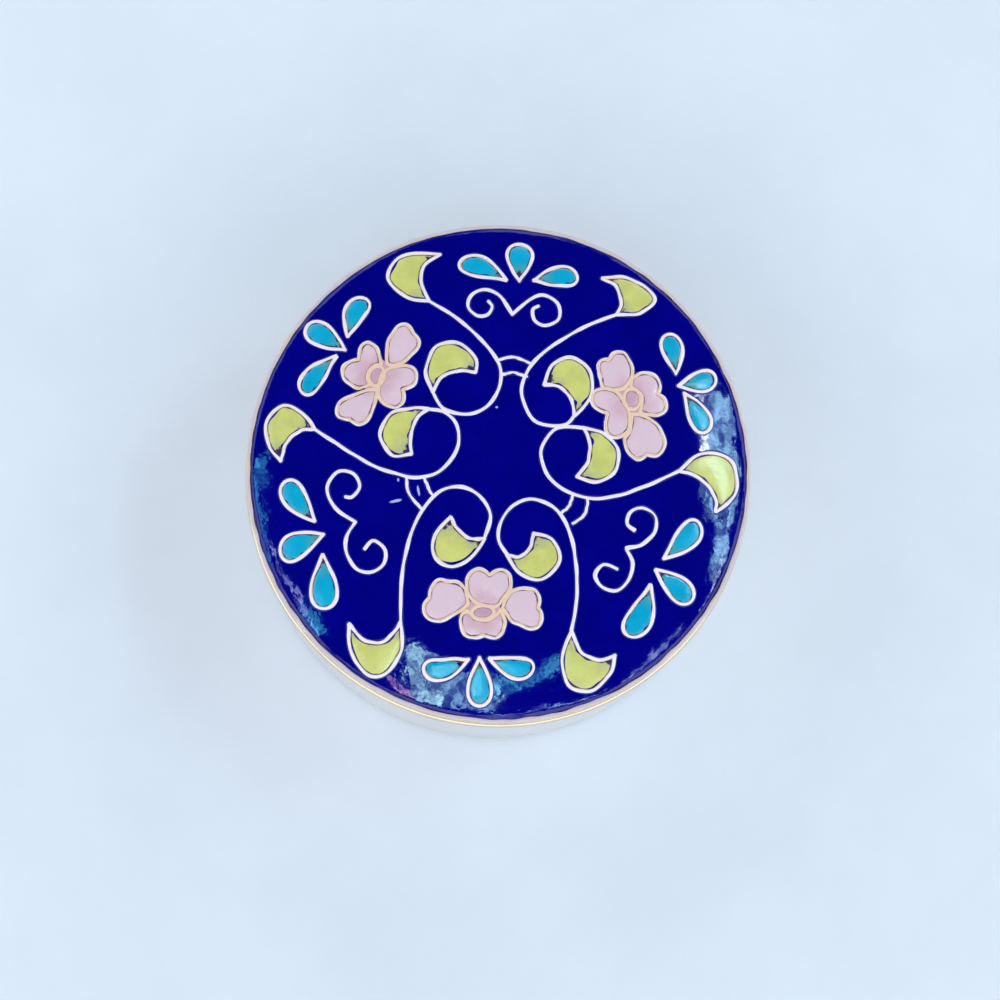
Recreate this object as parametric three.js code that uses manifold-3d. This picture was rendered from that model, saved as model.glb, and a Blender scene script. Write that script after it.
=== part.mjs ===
/**
 * A small round cloisonne enamel box with a lift-off lid.
 *
 * The lid is a shallow brass cap. Flat wires stand on its domed top plate and are soldered to it,
 * and the cells between them are filled with enamel, level with the wires but for a hair: a cobalt
 * ground, turquoise drops, yellow-green leaves and pink flowers. The base is a plain hollow brass
 * cup with a collar inside its mouth, which the lid slips over.
 *
 * Millimetres, +Z up. The origin is on the table, below the centre of the box.
 *
 * The lid's top is laid out flat, as the wires are laid out on the bench, and is domed last: every
 * point of it is lifted by rise(radius).
 */
import * as THREE from 'three';
import { mergeVertices } from 'three/addons/utils/BufferGeometryUtils.js';
import Module from 'manifold-3d';

const wasm = await Module();
wasm.setup();

// ---------------------------------------------------------------- driving dimensions

const ENAMEL_RADIUS = 24.65; // edge of the enamel, inside the lid's rim
const EDGE_HEIGHT = 24.0; // edge of the enamel above the table
const DOME_RISE = 2.6; // how far the middle of the lid stands above that edge
const DOME_POWER = 2.6; // over 2: flatter in the middle, rounder at the shoulder

const WIRE_WIDTH = 0.45;
const WIRE_PROUD = 0.1; // wires and rim above the enamel
const ENAMEL_DEPTH = 0.6; // from the enamel's surface down to the plate
const PLATE = 0.7; // thickness of the lid's plate
const CELL_GAP = 0.06; // between a fill and the wire beside it
const BED_GAP = 0.15; // between a fill and the plate below it

const LID_RADIUS = 25.0; // outside of the lid's side band
const LID_WALL = 1.0;
const LID_BAND = 3.3; // height of the side band
const BEAD = 0.35; // radius of the half-round bead along the band's lower edge

const BASE_RADIUS = 24.75;
const BASE_WALL = 1.05;
const BASE_FLOOR = 1.2;
const SEAT_GAP = 0.3; // between lid and base, all round
const COLLAR_WALL = 0.9;
const COLLAR_OVERLAP = 4.0; // how far the collar reaches down inside the base's wall
const FOOT_WIDTH = 2.0; // flat ring that the box stands on
const FOOT_ROUND = 1.1; // radius of the base's lower edge
const FOOT_RECESS = 1.0; // hollow under the floor, inside the foot ring

const ROUND_SIDES = 32; // facets of everything turned
const FLATNESS = 0.31; // depth of the longest curve that one straight piece of wire replaces
const DROP_POINTS = 8; // corners in a drop's outline
const OVAL_POINTS = 6; // corners in a flower's middle
const MAX_FACET = 8; // longest edge left in a face that is domed

const BRASS = { color: 0xd9bd84, roughness: 0.28, metalness: 1 };
const COBALT = { color: 0x06067a, roughness: 0.12, metalness: 0 };
const TURQUOISE = { color: 0x12a9d2, roughness: 0.14, metalness: 0 };
const LEAF_GREEN = { color: 0xbdc96c, roughness: 0.16, metalness: 0 };
const PETAL_PINK = { color: 0xe3c6d3, roughness: 0.16, metalness: 0 };
const CENTRE_PINK = { color: 0xd0a4b4, roughness: 0.16, metalness: 0 };

// ---------------------------------------------------------------- the laid-out pattern
//
// Places on the flat lid, in mm from its middle, +X right and +Y away. The wires are bent and laid
// by hand, so the three thirds of the pattern repeat only roughly and each place is its own.

/** Drops in fans of three: [round end, tip, width, sideways bend]. */
const DROPS = {
  top: [
    [[-3.9, 21.0], [0.7, 19.1], 2.2, 0.35],
    [[2.1, 23.0], [2.0, 19.0], 2.5, 0],
    [[7.8, 19.6], [3.4, 19.1], 2.1, -0.2],
  ],
  right: [
    [[16.9, 13.8], [17.6, 9.7], 2.1, 0.15],
    [[21.6, 9.5], [17.8, 8.5], 2.1, 0.1],
    [[20.6, 3.9], [18.4, 7.8], 2.1, -0.15],
  ],
  low_right: [
    [[19.7, -5.2], [16.2, -8.9], 2.2, 0.25],
    [[19.0, -13.0], [15.4, -10.0], 2.3, -0.1],
    [[12.7, -16.5], [14.9, -11.5], 2.5, -0.4],
  ],
  bottom: [
    [[3.3, -19.8], [-1.0, -18.8], 2.1, 0.35],
    [[-1.9, -23.4], [-1.95, -18.7], 2.3, 0],
    [[-7.4, -20.0], [-3.0, -18.9], 2.1, -0.35],
  ],
  low_left: [
    [[-17.2, -13.9], [-17.4, -8.6], 2.6, 0],
    [[-21.5, -8.6], [-17.3, -6.6], 2.5, 0.2],
    [[-21.2, -1.3], [-18.2, -5.3], 2.3, -0.2],
  ],
  left: [
    [[-19.5, 7.6], [-16.2, 11.3], 2.1, 0.3],
    [[-19.2, 14.5], [-15.3, 11.9], 2.3, 0.05],
    [[-13.5, 17.3], [-15.1, 13.3], 2.2, -0.3],
  ],
};

/**
 * Cells bent from wire. A cell is a list of runs. A run starts at a sharp corner and bends smoothly
 * through its other points to the next run's corner.
 */
const LEAVES = {
  outer_top_left: [
    [[-7.0, 16.9], [-9.3, 17.4], [-11.1, 19.3], [-10.4, 21.3], [-8.6, 22.0]],
    [[-5.9, 21.9], [-7.5, 20.7], [-7.8, 18.9]],
  ],
  outer_top_right: [
    [[10.3, 19.5], [12.5, 19.7], [14.6, 18.8], [15.6, 17.4], [14.0, 15.9]],
    [[11.7, 15.7], [12.2, 16.9], [11.7, 18.7]],
  ],
  outer_right: [
    [[17.9, -0.1], [19.4, 1.3], [21.6, 1.8], [23.4, 0.6], [23.5, -2.2]],
    [[21.5, -4.1], [21.3, -2.4], [19.9, -0.8]],
  ],
  outer_low_right: [
    [[7.1, -16.1], [6.2, -18.6], [6.8, -21.3], [9.0, -21.9], [10.9, -20.2]],
    [[11.4, -18.4], [10.0, -18.9], [8.1, -18.2]],
  ],
  outer_low_left: [
    [[-14.8, -15.4], [-14.6, -18.0], [-13.1, -20.2], [-11.2, -20.3], [-9.6, -17.9]],
    [[-9.7, -15.3], [-11.1, -17.0], [-13.1, -17.1]],
  ],
  outer_left: [
    [[-18.3, 3.9], [-19.7, 5.7], [-21.6, 6.4], [-23.1, 4.7], [-22.8, 2.3]],
    [[-21.6, 0.8], [-21.1, 2.6], [-19.7, 3.8]],
  ],
  inner_top_left: [
    [[-6.6, 7.5], [-7.3, 9.7], [-6.3, 12.2], [-4.0, 12.5], [-2.4, 10.9]],
    [[-2.4, 9.5], [-4.0, 9.7], [-5.8, 9.0]],
  ],
  inner_top_right: [
    [[4.4, 8.3], [5.3, 10.4], [7.2, 11.1], [9.0, 9.7], [9.0, 7.1]],
    [[7.4, 5.2], [7.1, 6.9], [5.9, 8.1]],
  ],
  inner_right: [
    [[8.3, 4.0], [10.2, 3.5], [11.7, 1.9], [11.4, -0.3], [9.6, -1.4]],
    [[7.6, -0.9], [8.7, 0.6], [8.9, 2.6]],
  ],
  inner_low_right: [
    [[0.7, -8.7], [2.0, -10.5], [4.1, -11.1], [5.9, -9.3], [5.2, -7.2]],
    [[3.3, -6.6], [3.0, -8.0], [1.9, -8.9]],
  ],
  inner_low_left: [
    [[-4.8, -5.0], [-6.4, -6.8], [-6.3, -9.0], [-4.6, -9.9], [-2.6, -8.8]],
    [[-1.5, -7.1], [-3.0, -7.1], [-4.2, -6.1]],
  ],
  inner_left: [
    [[-8.7, 1.3], [-10.6, 1.2], [-11.8, 3.2], [-10.8, 5.3], [-8.8, 5.9]],
    [[-7.0, 5.8], [-8.1, 5.0], [-8.8, 3.1]],
  ],
};

/** Four heart-shaped petals to a flower: the heel at the middle, then the notch. */
const PETALS = {
  left: [
    [[[-10.9, 10.4], [-11.3, 12.1], [-10.9, 13.8], [-9.6, 14.7]],
      [[-8.4, 13.5], [-7.9, 12.5], [-8.7, 11.2], [-9.8, 10.6]]],
    [[[-11.8, 10.3], [-11.8, 11.5], [-12.9, 12.7], [-13.9, 12.0]],
      [[-14.0, 11.1], [-15.2, 10.6], [-15.7, 9.4], [-14.9, 8.5]], [[-13.3, 8.2], [-13.0, 9.4]]],
    [[[-12.3, 7.8], [-14.0, 7.6], [-15.6, 6.6], [-16.3, 5.6], [-15.7, 4.9]],
      [[-14.9, 4.9], [-13.9, 4.3], [-12.9, 4.8], [-12.4, 6.0]]],
    [[[-12.0, 8.2], [-11.3, 9.6], [-9.9, 10.3], [-8.5, 10.0], [-8.1, 9.0], [-8.8, 8.1]],
      [[-9.7, 7.8], [-9.4, 7.0], [-9.8, 6.1], [-10.9, 6.0], [-11.8, 6.8]]],
  ],
  right: [
    [[[12.2, 8.1], [10.4, 8.3], [9.7, 9.7], [9.8, 10.9]],
      [[10.9, 11.3], [12.0, 12.1], [13.0, 11.5], [13.4, 9.9]]],
    [[[13.0, 8.4], [13.6, 9.6], [14.8, 9.9], [15.9, 9.2]],
      [[15.9, 7.7], [16.6, 6.6], [15.7, 5.6]], [[13.9, 5.8], [14.2, 7.2]]],
    [[[12.5, 7.2], [11.4, 8.0], [9.9, 8.1], [9.1, 7.1], [9.7, 6.0]],
      [[10.4, 5.4], [10.3, 4.0], [11.2, 3.2], [12.5, 3.6], [12.9, 5.2]]],
    [[[13.3, 5.5], [14.9, 5.3], [16.2, 3.7], [16.5, 2.2], [15.5, 1.4]],
      [[14.4, 1.4], [13.3, 1.0], [12.5, 2.0], [12.4, 3.4]]],
  ],
  bottom: [
    [[[-3.4, -13.6], [-3.8, -11.7], [-5.3, -11.0], [-6.6, -11.4]],
      [[-7.0, -12.7], [-7.7, -13.8], [-7.2, -15.0], [-5.8, -15.3], [-4.4, -14.5]]],
    [[[-0.6, -13.5], [-2.4, -13.2], [-3.4, -12.0], [-3.2, -10.6], [-2.1, -10.0]],
      [[-1.1, -10.4], [0.2, -10.0], [1.0, -10.8], [0.9, -12.4]]],
    [[[0.3, -13.8], [0.9, -12.4], [2.6, -11.9], [3.9, -12.3]],
      [[3.8, -13.7], [4.2, -14.9], [3.5, -15.9], [1.9, -15.5]]],
    [[[-3.3, -13.9], [-4.0, -15.2], [-3.4, -16.6]],
      [[-1.8, -16.6], [-0.5, -17.0], [0.5, -16.0]], [[0.2, -14.4], [-1.7, -15.2]]],
  ],
};

/** Small cells in the middle of the flowers: [middle, half width, half height, turn in degrees]. */
const CENTRES = {
  left: [[-12.2, 9.2], 0.75, 1.0, -15],
  right: [[13.15, 7.0], 0.85, 1.05, 0],
  bottom: [[-1.65, -14.35], 1.1, 0.68, 0],
};

/** Open wires that bend smoothly through their points. */
const TENDRILS = {
  top_left: [[-7.0, 16.9], [-4.1, 15.0], [-1.7, 12.7], [-0.1, 10.5], [0.0, 8.2], [-1.2, 6.1],
    [-3.2, 5.3], [-5.5, 5.8], [-6.6, 7.5]],
  top_right: [[11.7, 15.7], [8.1, 14.1], [4.6, 11.8], [2.7, 9.6], [2.2, 7.3], [3.2, 4.9],
    [4.8, 4.2], [6.6, 4.3], [7.4, 5.2]],
  right: [[17.9, -0.1], [15.0, -1.5], [11.5, -2.8], [8.7, -3.0], [5.9, -2.0], [4.3, 0.1],
    [4.2, 2.0], [5.6, 3.9], [8.3, 4.0]],
  low_right: [[7.1, -16.1], [7.6, -12.7], [7.4, -8.6], [6.6, -5.7], [5.3, -4.0], [3.3, -3.2],
    [1.4, -3.8], [0.1, -5.5], [-0.1, -7.2], [0.7, -8.7]],
  low_left: [[-9.7, -15.3], [-9.6, -11.0], [-8.9, -7.2], [-7.6, -4.3], [-5.8, -2.4], [-3.8, -2.0],
    [-2.0, -2.9], [-0.9, -4.8], [-1.5, -7.1]],
  left: [[-18.3, 3.9], [-16.2, 2.5], [-12.8, 0.3], [-9.3, -0.9], [-6.9, -0.9], [-5.2, 0.2],
    [-4.1, 2.2], [-4.3, 4.3], [-5.5, 5.5], [-7.0, 5.8]],
};

const SCROLLS = {
  top: [
    [[1.3, 15.5], [0.1, 17.4], [-1.3, 18.1], [-2.7, 17.6], [-3.1, 16.3], [-2.3, 15.4],
      [-1.2, 15.5], [-0.7, 16.3], [-1.1, 16.9]],
    [[1.3, 15.5], [2.9, 17.0], [4.4, 17.6], [5.8, 16.7], [5.9, 15.1], [4.6, 14.4], [3.5, 14.9],
      [3.3, 16.0], [3.9, 16.4]],
  ],
  left: [
    [[-14.2, -5.4], [-15.8, -4.4], [-16.8, -3.0], [-16.9, -1.6], [-15.9, -0.4], [-14.4, -0.6],
      [-13.8, -1.9], [-14.5, -2.9], [-15.2, -2.9]],
    [[-14.2, -5.4], [-15.1, -7.0], [-15.0, -8.6], [-14.1, -10.0], [-12.7, -10.4], [-11.4, -9.6],
      [-11.3, -8.2], [-12.4, -7.3], [-13.3, -8.1]],
  ],
  right: [
    [[12.5, -8.0], [14.1, -7.5], [15.3, -6.3], [15.4, -4.8], [14.2, -3.9], [12.9, -4.4],
      [12.6, -5.5], [13.3, -6.2]],
    [[12.5, -8.0], [13.1, -9.3], [12.8, -10.9], [11.6, -12.1], [10.1, -11.8], [9.4, -10.6],
      [10.2, -9.6], [11.6, -10.0]],
  ],
};

/** Pairs of short wires that tie two tendrils together. */
const LINKS = {
  top: [[[-0.1, 10.8], [1.4, 11.1], [3.2, 10.4]], [[0.1, 9.3], [1.4, 9.5], [2.7, 9.1]]],
  left: [[[-9.2, -1.0], [-8.9, -2.7], [-7.6, -4.3]], [[-7.4, -1.0], [-7.1, -2.0], [-6.5, -3.0]]],
  right: [[[7.2, -2.8], [6.8, -3.9], [5.9, -4.6]], [[8.7, -3.0], [8.4, -4.6], [7.2, -5.6]]],
};

// ---------------------------------------------------------------- heights on the flat lid

const wireTop = EDGE_HEIGHT + WIRE_PROUD;
const plateTop = EDGE_HEIGHT - ENAMEL_DEPTH;
const plateBottom = plateTop - PLATE;
const lidBottom = EDGE_HEIGHT - LID_BAND;

/** How far a point of the lid's top is lifted when the flat lid is domed. */
function rise(radius) {
  return DOME_RISE * (1 - Math.min(radius / ENAMEL_RADIUS, 1) ** DOME_POWER);
}

// ---------------------------------------------------------------- outlines

const vector = ([x, y]) => new THREE.Vector2(x, y);

/** Of the points along a smooth curve, the few that keep its shape to within FLATNESS. */
function thinned(points) {
  const first = points[0];
  const along = points.at(-1).clone().sub(first).normalize();
  const strays = points.map((point) => Math.abs(along.cross(point.clone().sub(first))));
  const worst = strays.indexOf(Math.max(...strays));
  if (strays[worst] < FLATNESS) return [first, points.at(-1)];
  return [...thinned(points.slice(0, worst + 1)).slice(0, -1), ...thinned(points.slice(worst))];
}

/**
 * Points along a smooth wire through places. Each bend is pushed out by an eighth of its height over
 * the points beside it, which puts the straight pieces half outside and half inside the curve.
 */
function bend(places) {
  const points = thinned(new THREE.SplineCurve(places.map(vector)).getPoints(12 * places.length));
  return points.map((point, i) => {
    if (i === 0 || i === points.length - 1) return point;
    const between = points[i - 1].clone().lerp(points[i + 1], 0.5);
    return point.clone().lerp(between, -1 / 8);
  });
}

/** The closed loop of a cell: its outline, and the points of it where one run ends and another starts. */
function runLoop(runs) {
  const outline = [];
  const breaks = [];
  runs.forEach((run, i) => {
    breaks.push(outline.length);
    outline.push(...bend([...run, runs[(i + 1) % runs.length][0]]).slice(0, -1));
  });
  return { outline, breaks };
}

/**
 * A drop: x = cos a along its axis, from round end to tip, and y = sin a * sin(a / 2) ^ 1.25 across
 * it, which is round at a = pi and pointed at a = 0. The bend bows it sideways.
 */
function dropLoop([end, tip, width, bow]) {
  const POINTED = 1.25;
  const across = (a) => Math.sin(a) * Math.sin(a / 2) ** POINTED;
  const widest = across(1.97);
  const middle = vector(end).add(vector(tip)).multiplyScalar(0.5);
  const half = vector(tip).sub(middle);
  const side = new THREE.Vector2(-half.y, half.x).normalize();
  const count = DROP_POINTS;
  const outline = Array.from({ length: count }, (_, i) => {
    const a = (2 * Math.PI * i) / count;
    const y = ((across(a) / widest) * width) / 2 + bow * Math.sin(a) ** 2;
    return middle.clone().addScaledVector(half, Math.cos(a)).addScaledVector(side, y);
  });
  return { outline, breaks: [0, count / 2] };
}

/** A small oval cell. */
function ovalLoop([middle, halfWidth, halfHeight, turn]) {
  const curve = new THREE.EllipseCurve(...middle, halfWidth, halfHeight, 0, 2 * Math.PI, false,
    THREE.MathUtils.degToRad(turn));
  return { outline: curve.getPoints(OVAL_POINTS).slice(0, -1), breaks: [0, OVAL_POINTS / 2] };
}

/** The outline moved outwards by `distance`, or inwards if it is negative; corners stay corners. */
function offset(points, distance, closed = true) {
  const MITRE = 2; // longest corner, in distances
  const outward = closed && THREE.ShapeUtils.area(points) < 0 ? -1 : 1;
  return points.map((point, i) => {
    const before = points[closed ? (i + points.length - 1) % points.length : Math.max(i - 1, 0)];
    const after = points[closed ? (i + 1) % points.length : Math.min(i + 1, points.length - 1)];
    const normals = [[before, point], [point, after]].filter(([a, b]) => a !== b)
      .map(([a, b]) => new THREE.Vector2(b.y - a.y, a.x - b.x).normalize());
    const sum = normals.reduce((total, normal) => total.add(normal), new THREE.Vector2()).normalize();
    const reach = Math.min(1 / Math.max(sum.dot(normals.at(-1)), 1e-3), MITRE);
    return point.clone().addScaledVector(sum, distance * outward * reach);
  });
}

/** The outline of an open wire; one that is grown wider is grown longer too. */
function openStrip(points, width) {
  const grown = (width - WIRE_WIDTH) / 2;
  const past = (end, before) => (
    end.clone().addScaledVector(end.clone().sub(before).normalize(), grown));
  const line = [past(points[0], points[1]), ...points.slice(1, -1), past(points.at(-1), points.at(-2))];
  return [...offset(line, width / 2, false), ...offset(line, -width / 2, false).reverse()];
}

/** The outlines of the pieces of a wire that is bent into a loop, one from each break to the next. */
function loopStrips({ outline, breaks }, width) {
  const outer = offset(outline, width / 2);
  const inner = offset(outline, -width / 2);
  return breaks.map((start, i) => {
    const end = breaks[i + 1] ?? outline.length;
    const reach = (edge) => [...edge, edge[0]].slice(start, end + 1);
    return [...reach(outer), ...reach(inner).reverse()];
  });
}

// ---------------------------------------------------------------- solids

/** A closed geometry as a solid that can be joined and cut. */
function toSolid(geometry) {
  const bare = geometry.clone().deleteAttribute('normal').deleteAttribute('uv');
  const merged = mergeVertices(bare, 1e-4);
  return new wasm.Manifold(new wasm.Mesh({
    numProp: 3,
    vertProperties: new Float32Array(merged.attributes.position.array),
    triVerts: new Uint32Array(merged.index.array),
  }));
}

/** A solid back as a geometry. */
function toGeometry(solid) {
  const { vertProperties, triVerts } = solid.getMesh();
  const geometry = new THREE.BufferGeometry();
  geometry.setAttribute('position', new THREE.BufferAttribute(new Float32Array(vertProperties), 3));
  geometry.setIndex([...triVerts]);
  return geometry;
}

/** An outline raised straight up between two heights. */
function prism(outline, low, high) {
  const geometry = new THREE.ExtrudeGeometry(new THREE.Shape(outline),
    { depth: high - low, bevelEnabled: false });
  return toSolid(geometry.translate(0, 0, low));
}

/** A turned solid from a profile of [radius, height] points, from the axis round to the axis. */
function turned(profile) {
  const geometry = new THREE.LatheGeometry(profile.map(vector), ROUND_SIDES);
  return toSolid(geometry.rotateX(Math.PI / 2));
}

/** Points on a quarter or half round in a profile, angles in degrees. */
function arc(radius, height, size, from, to, steps) {
  return Array.from({ length: steps + 1 }, (_, i) => {
    const a = THREE.MathUtils.degToRad(from + ((to - from) * i) / steps);
    return [radius + size * Math.cos(a), height + size * Math.sin(a)];
  });
}

const join = (solids) => solids.reduce((whole, solid) => whole.add(solid));
const byVolume = (a, b) => b.volume() - a.volume();

/** Splits edges over MAX_FACET between domed points, so that a domed face stays close to the dome. */
function splitLongEdges(positions, index) {
  const at = (i) => new THREE.Vector3(...positions.slice(3 * i, 3 * i + 3));
  for (let found = true; found;) {
    found = false;
    const middles = new Map();
    const middle = (a, b) => {
      const key = a < b ? `${a} ${b}` : `${b} ${a}`;
      if (!middles.has(key)) {
        const [p, q] = [at(a), at(b)];
        const long = isDomed(p.z) && isDomed(q.z) && p.distanceTo(q) > MAX_FACET;
        middles.set(key, long ? positions.push(...p.add(q).multiplyScalar(0.5)) / 3 - 1 : -1);
      }
      return middles.get(key);
    };
    const next = [];
    for (let t = 0; t < index.length; t += 3) {
      let corners = index.slice(t, t + 3);
      let [ab, bc, ca] = corners.map((a, i) => middle(a, corners[(i + 1) % 3]));
      const cuts = [ab, bc, ca].filter((m) => m >= 0).length;
      found ||= cuts > 0;
      while (cuts === 1 ? ab < 0 : cuts === 2 && ca >= 0) {
        corners = [corners[1], corners[2], corners[0]];
        [ab, bc, ca] = [bc, ca, ab];
      }
      const [a, b, c] = corners;
      if (cuts === 0) next.push(a, b, c);
      if (cuts === 1) next.push(a, ab, c, ab, b, c);
      if (cuts === 2) next.push(ab, b, bc, a, ab, bc, a, bc, c);
      if (cuts === 3) next.push(a, ab, ca, ab, b, bc, ca, bc, c, ab, bc, ca);
    }
    index = next;
  }
  return index;
}

/** Whether a height on the flat lid belongs to its domed top and not to its side band. */
function isDomed(height) {
  return height > plateBottom - 0.01;
}

/** The geometry of a flat solid of the lid, domed. */
function domed(solid) {
  const flat = toGeometry(solid);
  const positions = [...flat.attributes.position.array];
  const index = splitLongEdges(positions, [...flat.index.array]);
  for (let i = 0; i < positions.length; i += 3) {
    if (isDomed(positions[i + 2])) positions[i + 2] += rise(Math.hypot(positions[i], positions[i + 1]));
  }
  flat.setAttribute('position', new THREE.Float32BufferAttribute(positions, 3));
  return flat.setIndex(index);
}

// ---------------------------------------------------------------- wires

const dropCells = Object.entries(DROPS).flatMap(([fan, drops]) => drops.map((drop, i) => (
  { name: `drop_${fan}_${i + 1}`, finish: TURQUOISE, ...dropLoop(drop) })));
const leafCells = Object.entries(LEAVES).map(([place, runs]) => (
  { name: `leaf_${place}`, finish: LEAF_GREEN, ...runLoop(runs) }));
const petalCells = Object.entries(PETALS).flatMap(([flower, petals]) => petals.map((runs, i) => (
  { name: `petal_${flower}_${i + 1}`, finish: PETAL_PINK, ...runLoop(runs) })));
const centreCells = Object.entries(CENTRES).map(([flower, oval]) => (
  { name: `flower_centre_${flower}`, finish: CENTRE_PINK, ...ovalLoop(oval) }));
const cells = [...dropCells, ...leafCells, ...petalCells, ...centreCells];

const openWires = [...Object.values(TENDRILS), ...Object.values(SCROLLS).flat(),
  ...Object.values(LINKS).flat()].map(bend);

/** All the wires as upright strips between two heights, each `grown` wider on both sides. */
function wires(low, high, grown) {
  const width = WIRE_WIDTH + 2 * grown;
  const outlines = [...cells.flatMap((cell) => loopStrips(cell, width)),
    ...openWires.map((points) => openStrip(points, width))];
  return join(outlines.map((outline) => prism(outline, low, high)));
}

// ---------------------------------------------------------------- enamel

const enamelBottom = plateTop + BED_GAP;
const cutters = wires(enamelBottom - 1, EDGE_HEIGHT + 1, CELL_GAP);

/** The enamel inside one closed cell: what its wires leave, without slivers. */
function fill(outline) {
  return prism(outline, enamelBottom, EDGE_HEIGHT).subtract(cutters).decompose().sort(byVolume)[0];
}

/** The closed areas of the ground, largest first: the small ones lie between tendrils and links. */
const GROUND_NAMES = ['enamel_ground', 'enamel_nook', 'enamel_link_left', 'enamel_link_top'];

/** The cobalt ground: the whole lid less the wires and cells, as its separate closed areas. */
function groundAreas() {
  const SMALLEST = 0.4; // mm3; anything less is solder between two wires
  const edge = ENAMEL_RADIUS - CELL_GAP;
  const disc = turned([[0, enamelBottom], [edge, enamelBottom], [edge, EDGE_HEIGHT], [0, EDGE_HEIGHT]]);
  const filled = join(cells.map(({ outline }) => prism(outline, enamelBottom - 1, EDGE_HEIGHT + 1)));
  return disc.subtract(cutters).subtract(filled).decompose()
    .filter((area) => area.volume() > SMALLEST).sort(byVolume);
}

// ---------------------------------------------------------------- lid and base

/** The lid's cap: plate, side band with its bead and rim, and the wires on the plate. */
function lidShell() {
  const inside = LID_RADIUS - LID_WALL;
  const beadRadius = LID_RADIUS - 0.05;
  const cap = turned([
    [0, plateBottom],
    [inside, plateBottom],
    [inside, lidBottom],
    ...arc(beadRadius, lidBottom + BEAD, BEAD, -90, 90, 3),
    [LID_RADIUS, wireTop],
    [ENAMEL_RADIUS, wireTop],
    [ENAMEL_RADIUS, plateTop],
    [0, plateTop],
  ]);
  return cap.add(wires(plateTop - PLATE / 2, wireTop, 0));
}

/** The hollow base: foot ring, wall, floor, and the collar inside its mouth. */
function baseCup() {
  const shoulder = lidBottom - SEAT_GAP;
  const inside = BASE_RADIUS - BASE_WALL;
  const collar = LID_RADIUS - LID_WALL - SEAT_GAP;
  const collarInside = collar - COLLAR_WALL;
  const collarTop = plateBottom + rise(collar) - SEAT_GAP;
  const collarLow = shoulder - COLLAR_OVERLAP;
  const footInside = BASE_RADIUS - FOOT_ROUND - FOOT_WIDTH;
  const floorTop = FOOT_RECESS + BASE_FLOOR;
  return turned([
    [0, FOOT_RECESS],
    [footInside - FOOT_RECESS / 2, FOOT_RECESS],
    [footInside, 0],
    ...arc(BASE_RADIUS - FOOT_ROUND, FOOT_ROUND, FOOT_ROUND, -90, 0, 2),
    [BASE_RADIUS, shoulder],
    [collar, shoulder],
    [collar, collarTop],
    [collarInside, collarTop],
    [collarInside, collarLow],
    [inside, collarLow - (inside - collarInside)],
    [inside, floorTop + FOOT_ROUND],
    [inside - FOOT_ROUND, floorTop],
    [0, floorTop],
  ]);
}

// ---------------------------------------------------------------- the box

const box = new THREE.Group();

function addPiece(group, name, geometry, finish) {
  const mesh = new THREE.Mesh(geometry, new THREE.MeshStandardMaterial({ ...finish, flatShading: true }));
  mesh.name = name;
  group.add(mesh);
}

const lid = new THREE.Group();
addPiece(lid, 'lid_shell', domed(lidShell()), BRASS);
groundAreas().forEach((area, i) => addPiece(lid, GROUND_NAMES[i], domed(area), COBALT));
cells.forEach(({ name, outline, finish }) => addPiece(lid, name, domed(fill(outline)), finish));
box.add(lid);

addPiece(box, 'base', toGeometry(baseCup()), BRASS);

export default box;
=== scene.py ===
"""Looks for a small round cloisonne enamel box with a lift-off lid.

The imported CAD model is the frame: the pieces here take their places from its boxes and stand for
its nodes. Lengths in the pattern and the profiles are in millimetres, as in the CAD source, and
are turned into metres where a mesh is made. +Z is up, +X right and +Y to the pattern's far side.

The lid's top is laid out flat and domed last: each point is lifted by rise(radius).
"""

import bmesh
import bpy
import numpy as np
from bpy.props import FloatProperty, FloatVectorProperty, IntProperty, PointerProperty
from mathutils import Matrix, Vector


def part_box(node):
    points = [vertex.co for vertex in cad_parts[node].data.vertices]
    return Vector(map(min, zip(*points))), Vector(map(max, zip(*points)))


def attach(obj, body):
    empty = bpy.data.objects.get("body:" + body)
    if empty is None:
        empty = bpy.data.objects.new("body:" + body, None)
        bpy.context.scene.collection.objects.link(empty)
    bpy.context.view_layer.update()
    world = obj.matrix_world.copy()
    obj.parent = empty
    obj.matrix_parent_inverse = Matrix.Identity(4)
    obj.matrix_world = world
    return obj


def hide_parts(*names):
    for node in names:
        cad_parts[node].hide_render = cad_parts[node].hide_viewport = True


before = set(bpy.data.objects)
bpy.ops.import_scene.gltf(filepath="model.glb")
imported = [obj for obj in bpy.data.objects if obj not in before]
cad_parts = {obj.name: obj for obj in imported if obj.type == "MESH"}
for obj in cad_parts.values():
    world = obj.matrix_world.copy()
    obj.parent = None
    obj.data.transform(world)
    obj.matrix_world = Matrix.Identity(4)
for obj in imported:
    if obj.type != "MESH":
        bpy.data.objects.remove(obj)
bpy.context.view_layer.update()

bl_info = {
    "name": "Cloisonne Enamel Box",
    "version": (1, 0, 0),
    "blender": (4, 5, 0),
    "location": "View3D > Sidebar > Enamel Box",
    "description": "Dresses a small round cloisonne enamel box around its CAD frame",
    "category": "Object",
}

MM = 0.001

# ---------------------------------------------------------------- sizes, in mm

LID_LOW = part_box("lid_shell")[0].z / MM
BASE_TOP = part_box("base")[1].z / MM
LID_BAND = 3.3  # height of the lid's side band
EDGE_HEIGHT = LID_LOW + LID_BAND  # edge of the enamel above the table
ENAMEL_RADIUS = 24.65
DOME_RISE = 2.6
DOME_POWER = 2.6

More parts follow.
